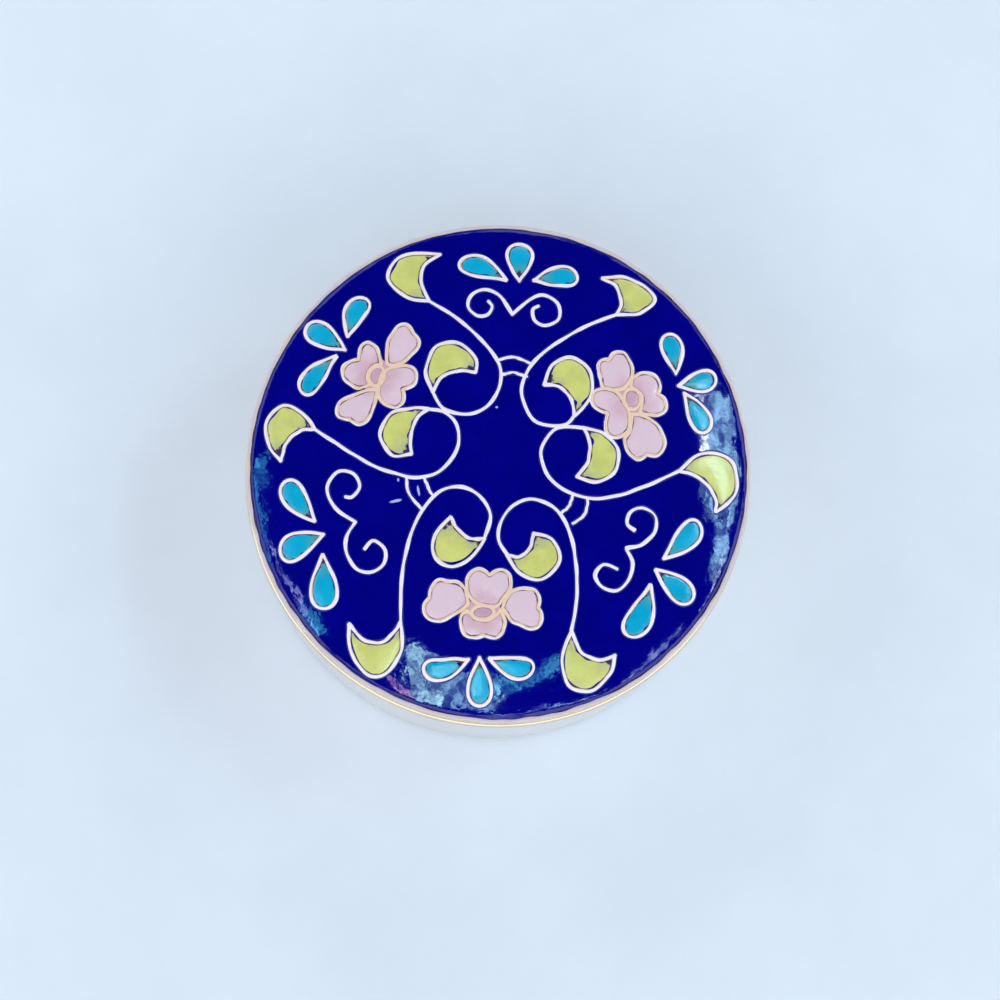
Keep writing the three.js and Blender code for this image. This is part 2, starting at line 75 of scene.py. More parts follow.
WIRE_DEEP = -0.35  # foot of a wire, below the enamel's level
GROUND_EDGE = 24.66  # edge of the cobalt
RIM_RADIUS = 24.87  # middle of the wire round the edge of the enamel
RIM_WIDTH = 0.36
ROLL_START = 24.2  # where the enamel begins to roll over towards its edge
ROLL_DEPTH = 0.06  # how far it has sunk 1 mm further out
SWELL_HEIGHT = 0.018  # size of the slow unevenness left by hand grinding
CELL_WIRE = 0.34  # width of the wires round the cells
TENDRIL_WIRE = 0.33
LINK_WIRE = 0.28
WIRE_STEP = 0.12  # between the points along a wire
WIRE_END = 0.35  # reach of a wire's rounded end, in widths
GROUND_LEVEL = -0.03  # surface of the cobalt, from the enamel's level
GROUND_DEEP = -0.55  # its underside
GROUND_STRAY = 0.045  # how far its edge strays in and out
FILL_ROUND = 0.045  # how far the edge of a fill is rounded down
FILL_SOFT = 0.05  # and the width that this fades over
SPINE_ROOM = 0.16  # kept free between a cell's spine and its wire
HEART_REACH = 0.75  # how far the pink round a flower's middle goes beyond it
HEART_CROWN = 0.012  # and how far it rises in its middle
MERGED = 1e-4  # points closer together than this are made one
FAR_OFF = (99.0, 99.0)  # stands for the corner of a cell that has none

LID_RADIUS = 25.0
LID_INSIDE = 24.0
PLATE_TOP = -0.6  # the lid's plate, from the enamel's level
PLATE_BOTTOM = -1.3
BEAD = 0.35
BASE_RADIUS = 24.75
BASE_INSIDE = 23.7
BASE_SHOULDER = LID_LOW - 0.3
COLLAR = 23.7
COLLAR_INSIDE = 22.8
COLLAR_LOW = BASE_SHOULDER - 4.0
FLOOR_LOW = 1.0
FLOOR_TOP = 2.2
FOOT_ROUND = 1.1
FOOT_INSIDE = 21.65
EDGE_SOFT = 0.25  # rounding of the base's shoulder and collar

# ---------------------------------------------------------------- the pattern, in mm

DROPS = {
    "top": [
        ((-3.9, 21.0), (0.7, 19.1), 2.2, 0.35),
        ((2.1, 23.0), (2.0, 19.0), 2.5, 0),
        ((7.8, 19.6), (3.4, 19.1), 2.1, -0.2)],
    "right": [
        ((16.9, 13.8), (17.6, 9.7), 2.1, 0.15),
        ((21.6, 9.5), (17.8, 8.5), 2.1, 0.1),
        ((20.6, 3.9), (18.4, 7.8), 2.1, -0.15)],
    "low_right": [
        ((19.7, -5.2), (16.2, -8.9), 2.2, 0.25),
        ((19.0, -13.0), (15.4, -10.0), 2.3, -0.1),
        ((12.7, -16.5), (14.9, -11.5), 2.5, -0.4)],
    "bottom": [
        ((3.3, -19.8), (-1.0, -18.8), 2.1, 0.35),
        ((-1.9, -23.4), (-1.95, -18.7), 2.3, 0),
        ((-7.4, -20.0), (-3.0, -18.9), 2.1, -0.35)],
    "low_left": [
        ((-17.2, -13.9), (-17.4, -8.6), 2.6, 0),
        ((-21.5, -8.6), (-17.3, -6.6), 2.5, 0.2),
        ((-21.2, -1.3), (-18.2, -5.3), 2.3, -0.2)],
    "left": [
        ((-19.5, 7.6), (-16.2, 11.3), 2.1, 0.3),
        ((-19.2, 14.5), (-15.3, 11.9), 2.3, 0.05),
        ((-13.5, 17.3), (-15.1, 13.3), 2.2, -0.3)],
}

LEAVES = {
    "outer_top_left": [
        [(-7.0, 16.9), (-9.3, 17.4), (-11.1, 19.3), (-10.4, 21.3), (-8.6, 22.0)],
        [(-5.9, 21.9), (-7.5, 20.7), (-7.8, 18.9)]],
    "outer_top_right": [
        [(10.3, 19.5), (12.5, 19.7), (14.6, 18.8), (15.6, 17.4), (14.0, 15.9)],
        [(11.7, 15.7), (12.2, 16.9), (11.7, 18.7)]],
    "outer_right": [
        [(17.9, -0.1), (19.4, 1.3), (21.6, 1.8), (23.4, 0.6), (23.5, -2.2)],
        [(21.5, -4.1), (21.3, -2.4), (19.9, -0.8)]],
    "outer_low_right": [
        [(7.1, -16.1), (6.2, -18.6), (6.8, -21.3), (9.0, -21.9), (10.9, -20.2)],
        [(11.4, -18.4), (10.0, -18.9), (8.1, -18.2)]],
    "outer_low_left": [
        [(-14.8, -15.4), (-14.6, -18.0), (-13.1, -20.2), (-11.2, -20.3), (-9.6, -17.9)],
        [(-9.7, -15.3), (-11.1, -17.0), (-13.1, -17.1)]],
    "outer_left": [
        [(-18.3, 3.9), (-19.7, 5.7), (-21.6, 6.4), (-23.1, 4.7), (-22.8, 2.3)],
        [(-21.6, 0.8), (-21.1, 2.6), (-19.7, 3.8)]],
    "inner_top_left": [
        [(-6.6, 7.5), (-7.3, 9.7), (-6.3, 12.2), (-4.0, 12.5), (-2.4, 10.9)],
        [(-2.4, 9.5), (-4.0, 9.7), (-5.8, 9.0)]],
    "inner_top_right": [
        [(4.4, 8.3), (5.3, 10.4), (7.2, 11.1), (9.0, 9.7), (9.0, 7.1)],
        [(7.4, 5.2), (7.1, 6.9), (5.9, 8.1)]],
    "inner_right": [
        [(8.3, 4.0), (10.2, 3.5), (11.7, 1.9), (11.4, -0.3), (9.6, -1.4)],
        [(7.6, -0.9), (8.7, 0.6), (8.9, 2.6)]],
    "inner_low_right": [
        [(0.7, -8.7), (2.0, -10.5), (4.1, -11.1), (5.9, -9.3), (5.2, -7.2)],
        [(3.3, -6.6), (3.0, -8.0), (1.9, -8.9)]],
    "inner_low_left": [
        [(-4.8, -5.0), (-6.4, -6.8), (-6.3, -9.0), (-4.6, -9.9), (-2.6, -8.8)],
        [(-1.5, -7.1), (-3.0, -7.1), (-4.2, -6.1)]],
    "inner_left": [
        [(-8.7, 1.3), (-10.6, 1.2), (-11.8, 3.2), (-10.8, 5.3), (-8.8, 5.9)],
        [(-7.0, 5.8), (-8.1, 5.0), (-8.8, 3.1)]],
}

PETALS = {
    "left": [
        [[(-11.1, 10.4), (-11.2, 11.6), (-11.1, 12.7), (-10.6, 13.7), (-10.1, 14.3), (-9.5, 14.5),
          (-9.0, 14.3)],
         [(-8.6, 13.6), (-8.2, 13.2), (-8.0, 12.7), (-8.1, 12.1), (-8.7, 11.4), (-9.4, 10.7),
          (-10.3, 10.3)]],
        [[(-11.7, 10.4), (-12.0, 11.5), (-12.3, 12.2), (-13.0, 12.7), (-13.6, 12.4), (-13.9, 11.8)],
         [(-14.0, 10.9), (-14.7, 10.8), (-15.3, 10.4), (-15.6, 9.8), (-15.5, 9.1), (-14.8, 8.4),
          (-14.1, 8.0), (-13.4, 8.1)],
         [(-12.8, 8.4), (-13.1, 9.0), (-12.9, 9.7), (-12.5, 10.2)]],
        [[(-12.1, 7.8), (-12.9, 7.8), (-13.9, 7.5), (-14.9, 7.1), (-15.8, 6.6), (-16.1, 5.9),
          (-16.0, 5.2), (-15.5, 4.9)],
         [(-14.8, 4.8), (-14.4, 4.5), (-13.9, 4.3), (-13.2, 4.6), (-12.7, 5.4), (-12.4, 6.3),
          (-12.2, 7.1)]],
        [[(-11.5, 9.6), (-10.9, 10.0), (-10.1, 10.2), (-9.2, 10.2), (-8.5, 9.9), (-8.2, 9.2),
          (-8.4, 8.4), (-9.0, 8.0)],
         [(-9.6, 7.8), (-9.5, 7.1), (-9.6, 6.5), (-10.2, 6.0), (-10.9, 6.1), (-11.6, 6.5),
          (-12.0, 7.2), (-12.0, 8.0), (-11.8, 8.9)]]],
    "right": [
        [[(10.2, 8.1), (10.0, 9.1), (9.8, 10.1), (10.0, 10.8), (10.5, 11.0)],
         [(10.9, 11.0), (11.3, 11.6), (11.9, 11.8), (12.5, 11.7), (12.9, 11.1), (13.2, 10.3),
          (13.2, 9.5), (12.9, 8.8), (12.3, 8.1), (11.3, 7.9)]],
        [[(13.0, 8.3), (13.2, 9.1), (13.7, 9.5), (14.5, 9.7), (15.2, 9.6), (15.8, 9.1),
          (16.0, 8.4)],
         [(15.8, 7.6), (16.4, 7.1), (16.6, 6.4), (16.3, 5.7), (15.4, 5.4), (14.6, 5.5)],
         [(13.9, 5.7), (14.1, 6.5), (14.1, 7.4), (13.6, 7.9)]],
        [[(10.7, 5.5), (9.9, 5.8), (9.3, 6.3), (9.1, 7.0), (9.4, 7.7), (10.2, 8.0), (11.1, 7.9),
          (11.8, 7.5), (12.4, 6.7)],
         [(12.4, 6.7), (12.8, 5.8), (12.9, 4.8), (12.7, 3.8), (12.0, 3.2), (11.2, 3.1),
          (10.6, 3.6), (10.5, 4.5)]],
        [[(13.1, 5.5), (13.9, 5.4), (14.8, 5.1), (15.6, 4.5), (16.1, 3.7), (16.4, 2.7),
          (16.1, 1.8), (15.5, 1.3)],
         [(14.6, 1.4), (14.2, 1.1), (13.6, 0.9), (13.0, 1.3), (12.5, 2.1), (12.4, 2.9),
          (12.8, 3.6), (13.1, 4.6)]]],
    "bottom": [
        [[(-3.1, -13.6), (-3.9, -14.2), (-4.9, -14.8), (-5.9, -15.2), (-6.8, -15.0),
          (-7.4, -14.4), (-7.4, -13.6)],
         [(-6.9, -12.9), (-6.8, -12.1), (-6.4, -11.5), (-5.8, -11.2), (-4.9, -11.3),
          (-4.0, -11.5)],
         [(-3.4, -12.0), (-3.2, -12.7)]],
        [[(-1.0, -10.7), (-1.5, -10.3), (-2.1, -10.1), (-2.8, -10.4), (-3.2, -11.1), (-3.2, -11.9),
          (-3.0, -12.7), (-2.3, -13.4), (-1.4, -13.7)],
         [(-0.5, -13.8), (-0.1, -13.6), (0.4, -12.9), (1.0, -12.1), (1.1, -11.3), (0.9, -10.6),
          (0.3, -10.2), (-0.4, -10.3)]],
        [[(1.0, -12.4), (1.6, -12.1), (2.6, -12.0), (3.4, -12.1), (3.8, -12.6), (3.9, -13.3)],
         [(3.8, -13.9), (4.1, -14.4), (4.1, -15.2), (3.7, -15.8), (2.9, -15.9), (1.9, -15.5),
          (1.2, -15.2), (0.7, -14.5)],
         [(0.3, -13.9), (0.6, -13.1)]],
        [[(-3.3, -14.2), (-3.7, -14.6), (-3.8, -15.4), (-3.6, -16.2), (-3.1, -16.7),
          (-2.3, -16.8)],
         [(-1.5, -16.6), (-0.8, -16.8), (-0.2, -16.8), (0.3, -16.3), (0.5, -15.5), (0.4, -14.8)],
         [(0.1, -14.1), (-0.3, -14.5), (-0.9, -15.0), (-1.6, -15.1), (-2.4, -14.9),
          (-2.9, -14.4)]]],
}

CENTRES = {
    "left": ((-12.2, 9.2), 0.75, 1.0, -15),
    "right": ((13.15, 7.0), 0.85, 1.05, 0),
    "bottom": ((-1.65, -14.35), 1.1, 0.68, 0),
}

TENDRILS = [
    [(-7.0, 16.9), (-4.1, 15.0), (-1.7, 12.7), (-0.1, 10.5), (0.0, 8.2), (-1.2, 6.1),
     (-3.2, 5.3), (-5.5, 5.8), (-6.6, 7.5)],
    [(11.7, 15.7), (8.1, 14.1), (4.6, 11.8), (2.7, 9.6), (2.2, 7.3), (3.2, 4.9),
     (4.8, 4.2), (6.6, 4.3), (7.4, 5.2)],
    [(17.9, -0.1), (15.0, -1.5), (11.5, -2.8), (8.7, -3.0), (5.9, -2.0), (4.3, 0.1),
     (4.2, 2.0), (5.6, 3.9), (8.3, 4.0)],
    [(7.1, -16.1), (7.6, -12.7), (7.4, -8.6), (6.6, -5.7), (5.3, -4.0), (3.3, -3.2),
     (1.4, -3.8), (0.1, -5.5), (-0.1, -7.2), (0.7, -8.7)],
    [(-9.7, -15.3), (-9.6, -11.0), (-8.9, -7.2), (-7.6, -4.3), (-5.8, -2.4), (-3.8, -2.0),
     (-2.0, -2.9), (-0.9, -4.8), (-1.5, -7.1)],
    [(-18.3, 3.9), (-16.2, 2.5), (-12.8, 0.3), (-9.3, -0.9), (-6.9, -0.9), (-5.2, 0.2),
     (-4.1, 2.2), (-4.3, 4.3), (-5.5, 5.5), (-7.0, 5.8)],
]

SCROLLS = [
    [(1.3, 15.5), (0.1, 17.4), (-1.3, 18.1), (-2.7, 17.6), (-3.1, 16.3), (-2.3, 15.4),
     (-1.2, 15.5), (-0.7, 16.3), (-1.1, 16.9)],
    [(1.3, 15.5), (2.9, 17.0), (4.4, 17.6), (5.8, 16.7), (5.9, 15.1), (4.6, 14.4), (3.5, 14.9),
     (3.3, 16.0), (3.9, 16.4)],
    [(-14.2, -5.4), (-15.8, -4.4), (-16.8, -3.0), (-16.9, -1.6), (-15.9, -0.4), (-14.4, -0.6),
     (-13.8, -1.9), (-14.5, -2.9), (-15.2, -2.9)],
    [(-14.2, -5.4), (-15.1, -7.0), (-15.0, -8.6), (-14.1, -10.0), (-12.7, -10.4), (-11.4, -9.6),
     (-11.3, -8.2), (-12.4, -7.3), (-13.3, -8.1)],
    [(12.5, -8.0), (14.1, -7.5), (15.3, -6.3), (15.4, -4.8), (14.2, -3.9), (12.9, -4.4),
     (12.6, -5.5), (13.3, -6.2)],
    [(12.5, -8.0), (13.1, -9.3), (12.8, -10.9), (11.6, -12.1), (10.1, -11.8), (9.4, -10.6),
     (10.2, -9.6), (11.6, -10.0)],
]

LINKS = [
    [(-0.1, 10.8), (1.4, 11.1), (3.2, 10.4)], [(0.1, 9.3), (1.4, 9.5), (2.7, 9.1)],
    [(-9.2, -1.0), (-8.9, -2.7), (-7.6, -4.3)], [(-7.4, -1.0), (-7.1, -2.0), (-6.5, -3.0)],
    [(7.2, -2.8), (6.8, -3.9), (5.9, -4.6)], [(8.7, -3.0), (8.4, -4.6), (7.2, -5.6)],
]

# ---------------------------------------------------------------- wear, colours and light

INNER_GILDING = 0.45  # how gilt a wire's inner side is left, round a cell
FLOWER_GILDING = 0.4  # and how much more round a petal
SHELTER_REACH = 0.75  # mm between two wires at which they begin to shelter each other
SHELTER_FADE = 0.35  # mm closer until the shelter is full
JOINT_CLEAR = 0.5  # mm round a wire's ends where the wires that meet it don't count

GROUND_NICKS = [  # middle and half size in mm, turn in degrees
    ((-0.3, 6.0), (0.16, 0.13), 0),
    ((-10.3, -3.4), (0.7, 0.16), 12),
    ((-8.0, -2.4), (0.14, 0.6), 10),
    ((-10.0, -1.3), (0.12, 0.2), 0),
    ((10.4, 4.6), (0.1, 0.16), 20),
]

ENAMEL_IOR = 1.55
ENAMEL_BUMP = 0.00003  # deepest unevenness of an enamel's skin, in metres
NICK_COLOUR = (0.42, 0.46, 0.7, 1)
CELL_PIT, PETAL_PIT = (0.02, 0.008, 0.05, 1), (0.05, 0.01, 0.05, 1)
# In the next three lines the second colour darkens a fill along its wire: partly a stain, partly painted
# shade of the gap beside the wire.
DROP_GREY, DROP_STAIN_AND_SHADE = (0.1, 0.36, 0.3), (0.2, 0.22, 0.1)
LEAF_GREY, LEAF_STAIN_AND_SHADE = (0.42, 0.42, 0.30), (0.12, 0.1, 0.06)
CENTRE_GREY, CENTRE_STAIN_AND_SHADE = (0.5, 0.3, 0.36), (0.16, 0.05, 0.09)
PETAL_STAIN = (0.42, 0.27, 0.23)
BASE_TARNISH, LID_TARNISH = (0.74, 0.69, 0.61), (0.62, 0.48, 0.33)
# Painted reflection: the rim wire's lilac colour stands for the bright surroundings mirrored in its flat
# top; the second colour is its gilt.
RIM_PAINTED_SHEEN, RIM_GILT = (0.66, 0.56, 0.62), (0.74, 0.58, 0.46)

FLOOR_HALF = 6.0  # half the width of the floor, in metres
FILM_WIDTH = 36.0  # mm
CAMERA_TILT = 9.3  # degrees off the vertical
CAMERA_TURN = -100.0  # degrees from +X: nearly over the near edge
CAMERA_DISTANCE = 0.32  # metres from the middle of the lid's edge plane
FOCAL = 3.22  # focal length in frame widths
CAMERA_AIM = (-0.001, 0.0289)  # where the lid's middle falls, in frame widths right of and above the frame's

SKY_TILT = (9.8, 80.0)  # degrees off the vertical, and towards where
SKY_OPENING = (35.9, 36.6)  # degrees from the opening's middle to its soft edge
SKY_RING, SKY_HORIZON = 1.55, 0.85
SKY_COLOUR = (0.95, 0.97, 1.0)

WINDOWS = [  # middle, half size, turn in degrees, colour, brightness
    ((-0.155, -0.335), (0.042, 0.1), 0, (0.5, 0.95, 0.95), 6.5),
    ((-0.05, -0.38), (0.075, 0.065), 0, (0.4, 0.8, 1.0), 4.5),
    ((0.085, -0.335), (0.09, 0.026), 27, (0.12, 0.7, 0.95), 4.5),
    ((-0.217, -0.38), (0.013, 0.045), 27, (1.0, 0.6, 0.85), 6.0),
    ((0.63, 0.25), (0.08, 0.18), -8, (0.4, 0.8, 1.0), 7.0),
    ((0.62, 0.0), (0.05, 0.09), 0, (0.4, 0.8, 1.0), 6.0),
    ((0.548, 0.32), (0.011, 0.1), 3, (0.9, 1.0, 1.0), 24.0),
    ((0.616, 0.16), (0.012, 0.045), -5, (0.95, 1.0, 0.95), 20.0),
    ((-0.6, 0.19), (0.035, 0.06), 0, (0.1, 0.65, 1.0), 4.0),
    ((-0.63, 0.05), (0.025, 0.15), 5, (0.1, 0.6, 1.0), 3.5),
    ((-0.47, -0.22), (0.04, 0.06), 30, (0.1, 0.75, 1.0), 5.0),
    ((-0.52, -0.13), (0.008, 0.15), 25, (0.5, 0.55, 1.0), 5.0),
    ((0.15, -0.45), (0.16, 0.008), 13, (0.4, 0.6, 1.0), 6.0),
    ((0.44, -0.33), (0.009, 0.12), -42, (0.5, 0.65, 1.0), 6.0),
    ((0.62, -0.13), (0.01, 0.08), -20, (0.6, 0.75, 1.0), 7.0),
]

# ---------------------------------------------------------------- lines on the flat lid


def bend(places, step=0.1):
    """A smooth line through places, as points about `step` apart.

    Between two places it is the cubic whose slope at each of them is half the way from the place
    before to the place after.
    """
    p = np.array(places, float)
    p = np.vstack([p[:1], p, p[-1:]])
    before, start, end, after = (q[:, None] for q in (p[:-3], p[1:-2], p[2:-1], p[3:]))
    t = np.linspace(0, 1, 24, endpoint=False)[None, :, None]
    leave, arrive = (end - before) / 2, (after - start) / 2
    line = ((2 * start - 2 * end + leave + arrive) * t ** 3
            + (3 * end - 3 * start - 2 * leave - arrive) * t ** 2 + leave * t + start)
    return even(np.vstack([line.reshape(-1, 2), p[-1:]]), step)


def even(line, step):
    """The same line with its points evenly spaced along its length."""
    along = lengths(line)
    count = max(3, round(along[-1] / step))
    at = np.linspace(0, along[-1], count + 1)
    return np.stack([np.interp(at, along, line[:, i]) for i in (0, 1)], 1)


def lengths(line):
    """The length of a line from its start to each of its points."""
    return np.concatenate([[0], np.cumsum(np.linalg.norm(np.diff(line, axis=0), axis=1))])


def runs_of(cell):
    """The bent runs of a cell's wire: each goes from its own corner to the next run's."""
    return [bend(run + [cell[(i + 1) % len(cell)][0]]) for i, run in enumerate(cell)]


def drop_line(drop, count=120):
    """A drop's wire, from its tip round its round end and back.

    x = cos a along its axis and y = sin a * sin(a / 2) ^ 1.25 across it; the bend bows it sideways
    by bow * sin(a) ^ 2.
    """
    end, tip, width, bow = drop
    a = np.linspace(0, 2 * np.pi, count + 1)
    across = np.sin(a) * np.abs(np.sin(a / 2)) ** 1.25
    across *= width / 2 / (np.sin(1.97) * np.sin(1.97 / 2) ** 1.25)
    middle = (np.array(end) + tip) / 2
    half = np.array(tip) - middle
    side = np.array([-half[1], half[0]]) / np.linalg.norm(half)
    offset = across + bow * np.sin(a) ** 2
    return middle + np.cos(a)[:, None] * half + offset[:, None] * side


def oval_line(oval, count=60):
    """An ellipse: x = width cos a, y = height sin a, turned about its middle."""
    middle, wide, high, turn = oval
    a = np.linspace(0, 2 * np.pi, count + 1)
    c, s = np.cos(np.radians(turn)), np.sin(np.radians(turn))
    return middle + np.stack([wide * np.cos(a), high * np.sin(a)], 1) @ np.array([[c, s], [-s, c]])


def wave(turns, rng, lowest=1, highest=6):
    """A smooth closed random wave of about unit size: harmonics with random sizes and phases."""
    k = np.arange(lowest, highest + 1)
    size = rng.normal(size=len(k)) / np.sqrt(len(k) / 2)
    phase = rng.uniform(0, 2 * np.pi, len(k))
    return (size * np.cos(2 * np.pi * np.outer(turns, k) + phase)).sum(1)


# ---------------------------------------------------------------- surfaces


def rise(radius):
    """How far a point of the flat lid is lifted: DOME_RISE * (1 - (r / R) ^ DOME_POWER)."""
    return DOME_RISE * (1 - np.minimum(radius / ENAMEL_RADIUS, 1) ** DOME_POWER)


def swell(x, y):
    """The slow unevenness left by hand grinding: a few plane waves 7 to 16 mm long, in mm."""
    rng = np.random.default_rng(5)
    total = np.zeros_like(x)
    for _ in range(9):
        turn, length = rng.uniform(0, 2 * np.pi), rng.uniform(7, 16)
        phase = rng.uniform(0, 2 * np.pi)
        total = total + np.cos(2 * np.pi * (x * np.cos(turn) + y * np.sin(turn)) / length + phase)
    return total * SWELL_HEIGHT / 3


def on_dome(plan, level):
    """Plan points lifted onto the domed lid, `level` above the enamel's own surface.

    The surface is EDGE_HEIGHT + rise(r) + swell(x, y), less ROLL_DEPTH * (overhang) ^ 2 where the
    enamel rolls over near its edge.
    """
    x, y = plan[..., 0], plan[..., 1]
    r = np.hypot(x, y)
    roll = ROLL_DEPTH * np.maximum(r - ROLL_START, 0) ** 2
    return np.stack([x, y, EDGE_HEIGHT + rise(r) + swell(x, y) - roll + level], -1)


def lay_wire(line, rng, width, inside=0, closed=False):
    """A flat wire along a line: a round-topped section carried along it, with rounded ends.

    Across the wire the section is half a width either way, with its shoulders rounded off; its
    width swells and thins a little and it strays sideways, as a hand-bent wire does. Its foot is in
    the enamel and its top stands wire_proud over it. Gives the grid of points, and for each how
    far it is towards the inside of its cell, where `inside` is the side that the cell is on.
    """
    sizes = bpy.context.scene.enamel_box_sizes
    proud = sizes.wire_proud / MM
    section = np.array([(-1, WIRE_DEEP), (-1, -0.02), (-0.94, 0.45 * proud), (-0.76, 0.8 * proud),
                        (-0.4, proud), (0, 1.04 * proud), (0.4, proud), (0.76, 0.8 * proud),
                        (0.94, 0.45 * proud), (1, -0.02), (1, WIRE_DEEP)])
    line = even(line, WIRE_STEP)
    along = lengths(line)
    turns = along / along[-1]
    tangent = np.gradient(line, axis=0)
    if closed:
        tangent[0] = tangent[-1] = line[1] - line[-2]
    tangent /= np.linalg.norm(tangent, axis=1)[:, None]
    normal = np.stack([-tangent[:, 1], tangent[:, 0]], 1)
    harmonics = max(4, round(along[-1] / 2.2))
    stray = sizes.wire_stray / MM * wave(turns, rng, 1, harmonics)
    half = width / 2 * (1 + sizes.wire_unevenness * wave(turns, rng, 1, harmonics))
    if not closed:
        reach = width * WIRE_END
        ends = reach * np.array([1, 0.92, 0.7, 0.38])
        shrink = np.sqrt(np.clip(1 - (ends / reach) ** 2, 0, 1)) * 0.98
        half = np.concatenate([half[0] * shrink, half, half[-1] * shrink[::-1]])
        line = np.vstack([line[0] - tangent[0] * ends[:, None], line,
                          line[-1] + tangent[-1] * ends[::-1, None]])
        normal = np.vstack([normal[:1]] * 4 + [normal] + [normal[-1:]] * 4)
        stray = np.concatenate([[stray[0]] * 4, stray, [stray[-1]] * 4])
    offset = stray[:, None] + half[:, None] * section[:, 0]
    plan = line[:, None] + offset[..., None] * normal[:, None]
    level = np.broadcast_to(section[:, 1], offset.shape).copy()
    if not closed:
        level[[0, -1]] = (WIRE_DEEP + proud) / 2
    return on_dome(plan, level), np.broadcast_to(inside * section[:, 0], offset.shape)


def turn_of(line):
    """+1 if a closed line runs anticlockwise, so that its inside is on its left, and -1 if not."""
    x, y = line[:, 0], line[:, 1]
    return np.sign((x * np.roll(y, -1) - np.roll(x, -1) * y).sum())


def nearest(points, line):
    """The distance from each point to the nearest of a closely spaced line's points."""
    flat = points.reshape(-1, 2)
    far = [np.sqrt(((part[:, None] - line) ** 2).sum(-1).min(1))
           for part in np.array_split(flat, 1 + flat.size // 8000)]
    return np.concatenate(far).reshape(points.shape[:-1])


def lay_fill(rim, spine, wire_line, rng, usual_gap, corners):
    """The enamel inside a cell, as a closed grid, with marks for its finish.

    Each column runs from a point of the spine towards the point of the rim beside it, and stops
    where the wire's side is a small uneven gap away. Down a column the height is
    crown * (1 - t ^ 2), rounded over at the edge, then the wall, then back under to the spine.
    """
    sizes = bpy.context.scene.enamel_box_sizes
    turns = np.linspace(0, 1, len(rim), endpoint=False)
    gap = usual_gap / MM * (1 + 0.9 * wave(turns, rng, 2, 14))
    away = CELL_WIRE / 2 + np.maximum(gap, 0.005)
    rays = spine[:, None] + np.linspace(0, 1, 61)[:, None] * (rim - spine)[:, None]
    clear = nearest(rays, wire_line) - away[:, None]
    stop = np.argmax(clear < 0, 1)
    rows = np.arange(len(rim))
    last, first = clear[rows, np.maximum(stop - 1, 0)], clear[rows, stop]
    part = np.where(stop > 0, last / np.maximum(last - first, 1e-9), 0)
    out = np.where(stop > 0, (stop - 1 + np.clip(part, 0, 1)) / 60, 0)
    edge = spine + out[:, None] * (rim - spine)
    t = np.sin(np.linspace(0, np.pi / 2, 12))
    plan = spine + t[:, None, None] * (edge - spine)
    beside = nearest(plan, wire_line) - CELL_WIRE / 2
    crown = sizes.crown / MM * (1 - t ** 2)[:, None]
    top = on_dome(plan, crown - FILL_ROUND * np.exp(-beside / FILL_SOFT))
    low = np.stack([edge, (spine + edge) / 2, spine])
    grid = np.concatenate([top, on_dome(low, WIRE_DEEP)])
    marks = {"rim_gap": np.concatenate([beside, np.repeat(beside[-1:], 3, 0)]),
             "from_corner": nearest(grid[..., :2], np.array(corners))}
    return grid, marks


def inner_spine(left, right, wire_line, count=90):
    """A spine for a cell between two runs that share their corners, and the rim beside it.

    The spine is the line halfway between points at equal shares of the two runs, kept to where a
    wire's width still fits beside it.
    """
    share = (1 - np.cos(np.linspace(0, np.pi, count))) / 2
    sides = []
    for run in (left, right):
        along = lengths(run) / lengths(run)[-1]
        sides.append(np.stack([np.interp(share, along, run[:, i]) for i in (0, 1)], 1))
    middle = (sides[0] + sides[1]) / 2
    roomy = np.flatnonzero(nearest(middle, wire_line) > CELL_WIRE / 2 + SPINE_ROOM)
    held = np.clip(np.arange(count), roomy[0], roomy[-1])
    rim = np.vstack([sides[0], sides[1][-2:0:-1]])
    spine = np.vstack([middle[held], middle[held][-2:0:-1]])
    return rim, spine


def drop_spine(drop, line):
    """The rim of a drop and the spine along its axis, from its widest place towards its tip."""
    end, tip, _, _ = drop
    middle = (np.array(end) + tip) / 2
    half = np.array(tip) - middle
    rim = line[:-1]
    x = np.clip((rim - middle) @ half / (half @ half), -0.42, 0.45)
    return rim, middle + x[:, None] * half


def centre_of(line):
    """The centroid of the area inside a closed line."""
    x, y = line[:, 0], line[:, 1]
    nx, ny = np.roll(x, -1), np.roll(y, -1)
    cross = x * ny - nx * y
    return np.array([((x + nx) * cross).sum(), ((y + ny) * cross).sum()]) / (3 * cross.sum())


def pattern_lines():
    """The lines of all the wires, by kind."""
    return {
        "drops": [drop_line(drop) for fan in DROPS.values() for drop in fan],
        "leaves": [run for cell in LEAVES.values() for run in runs_of(cell)],
        "petals": [run for flower in PETALS.values() for cell in flower for run in runs_of(cell)],
        "centres": [oval_line(oval) for oval in CENTRES.values()],
        "tendrils": [bend(places) for places in TENDRILS],
        "scrolls": [bend(places) for places in SCROLLS],
        "links": [bend(places) for places in LINKS],
    }


def even_all(lines, step):
    """The points of several lines, about `step` apart."""
    return np.vstack([even(line, step) for line in lines])


def turned(profile, segments=300):
    """A profile of (radius, height) points turned about the upright axis, as rows of a grid."""
    p = np.array(profile, float)
    a = np.linspace(0, 2 * np.pi, segments, endpoint=False)
    x, y = p[:, :1] * np.cos(a), p[:, :1] * np.sin(a)
    return np.stack([x, y, np.broadcast_to(p[:, 1:], x.shape)], -1)


def arc(radius, height, size, start, stop, steps=10):
    """Points round an arc in a profile, angles in degrees."""
    a = np.radians(np.linspace(start, stop, steps + 1))
    return np.stack([radius + size * np.cos(a), height + size * np.sin(a)], 1).tolist()


# ---------------------------------------------------------------- pieces


def new_object(name, data):
    """An object in the scene from its mesh or camera."""
    made = bpy.data.objects.new(name, data)
    bpy.context.scene.collection.objects.link(made)
    return made


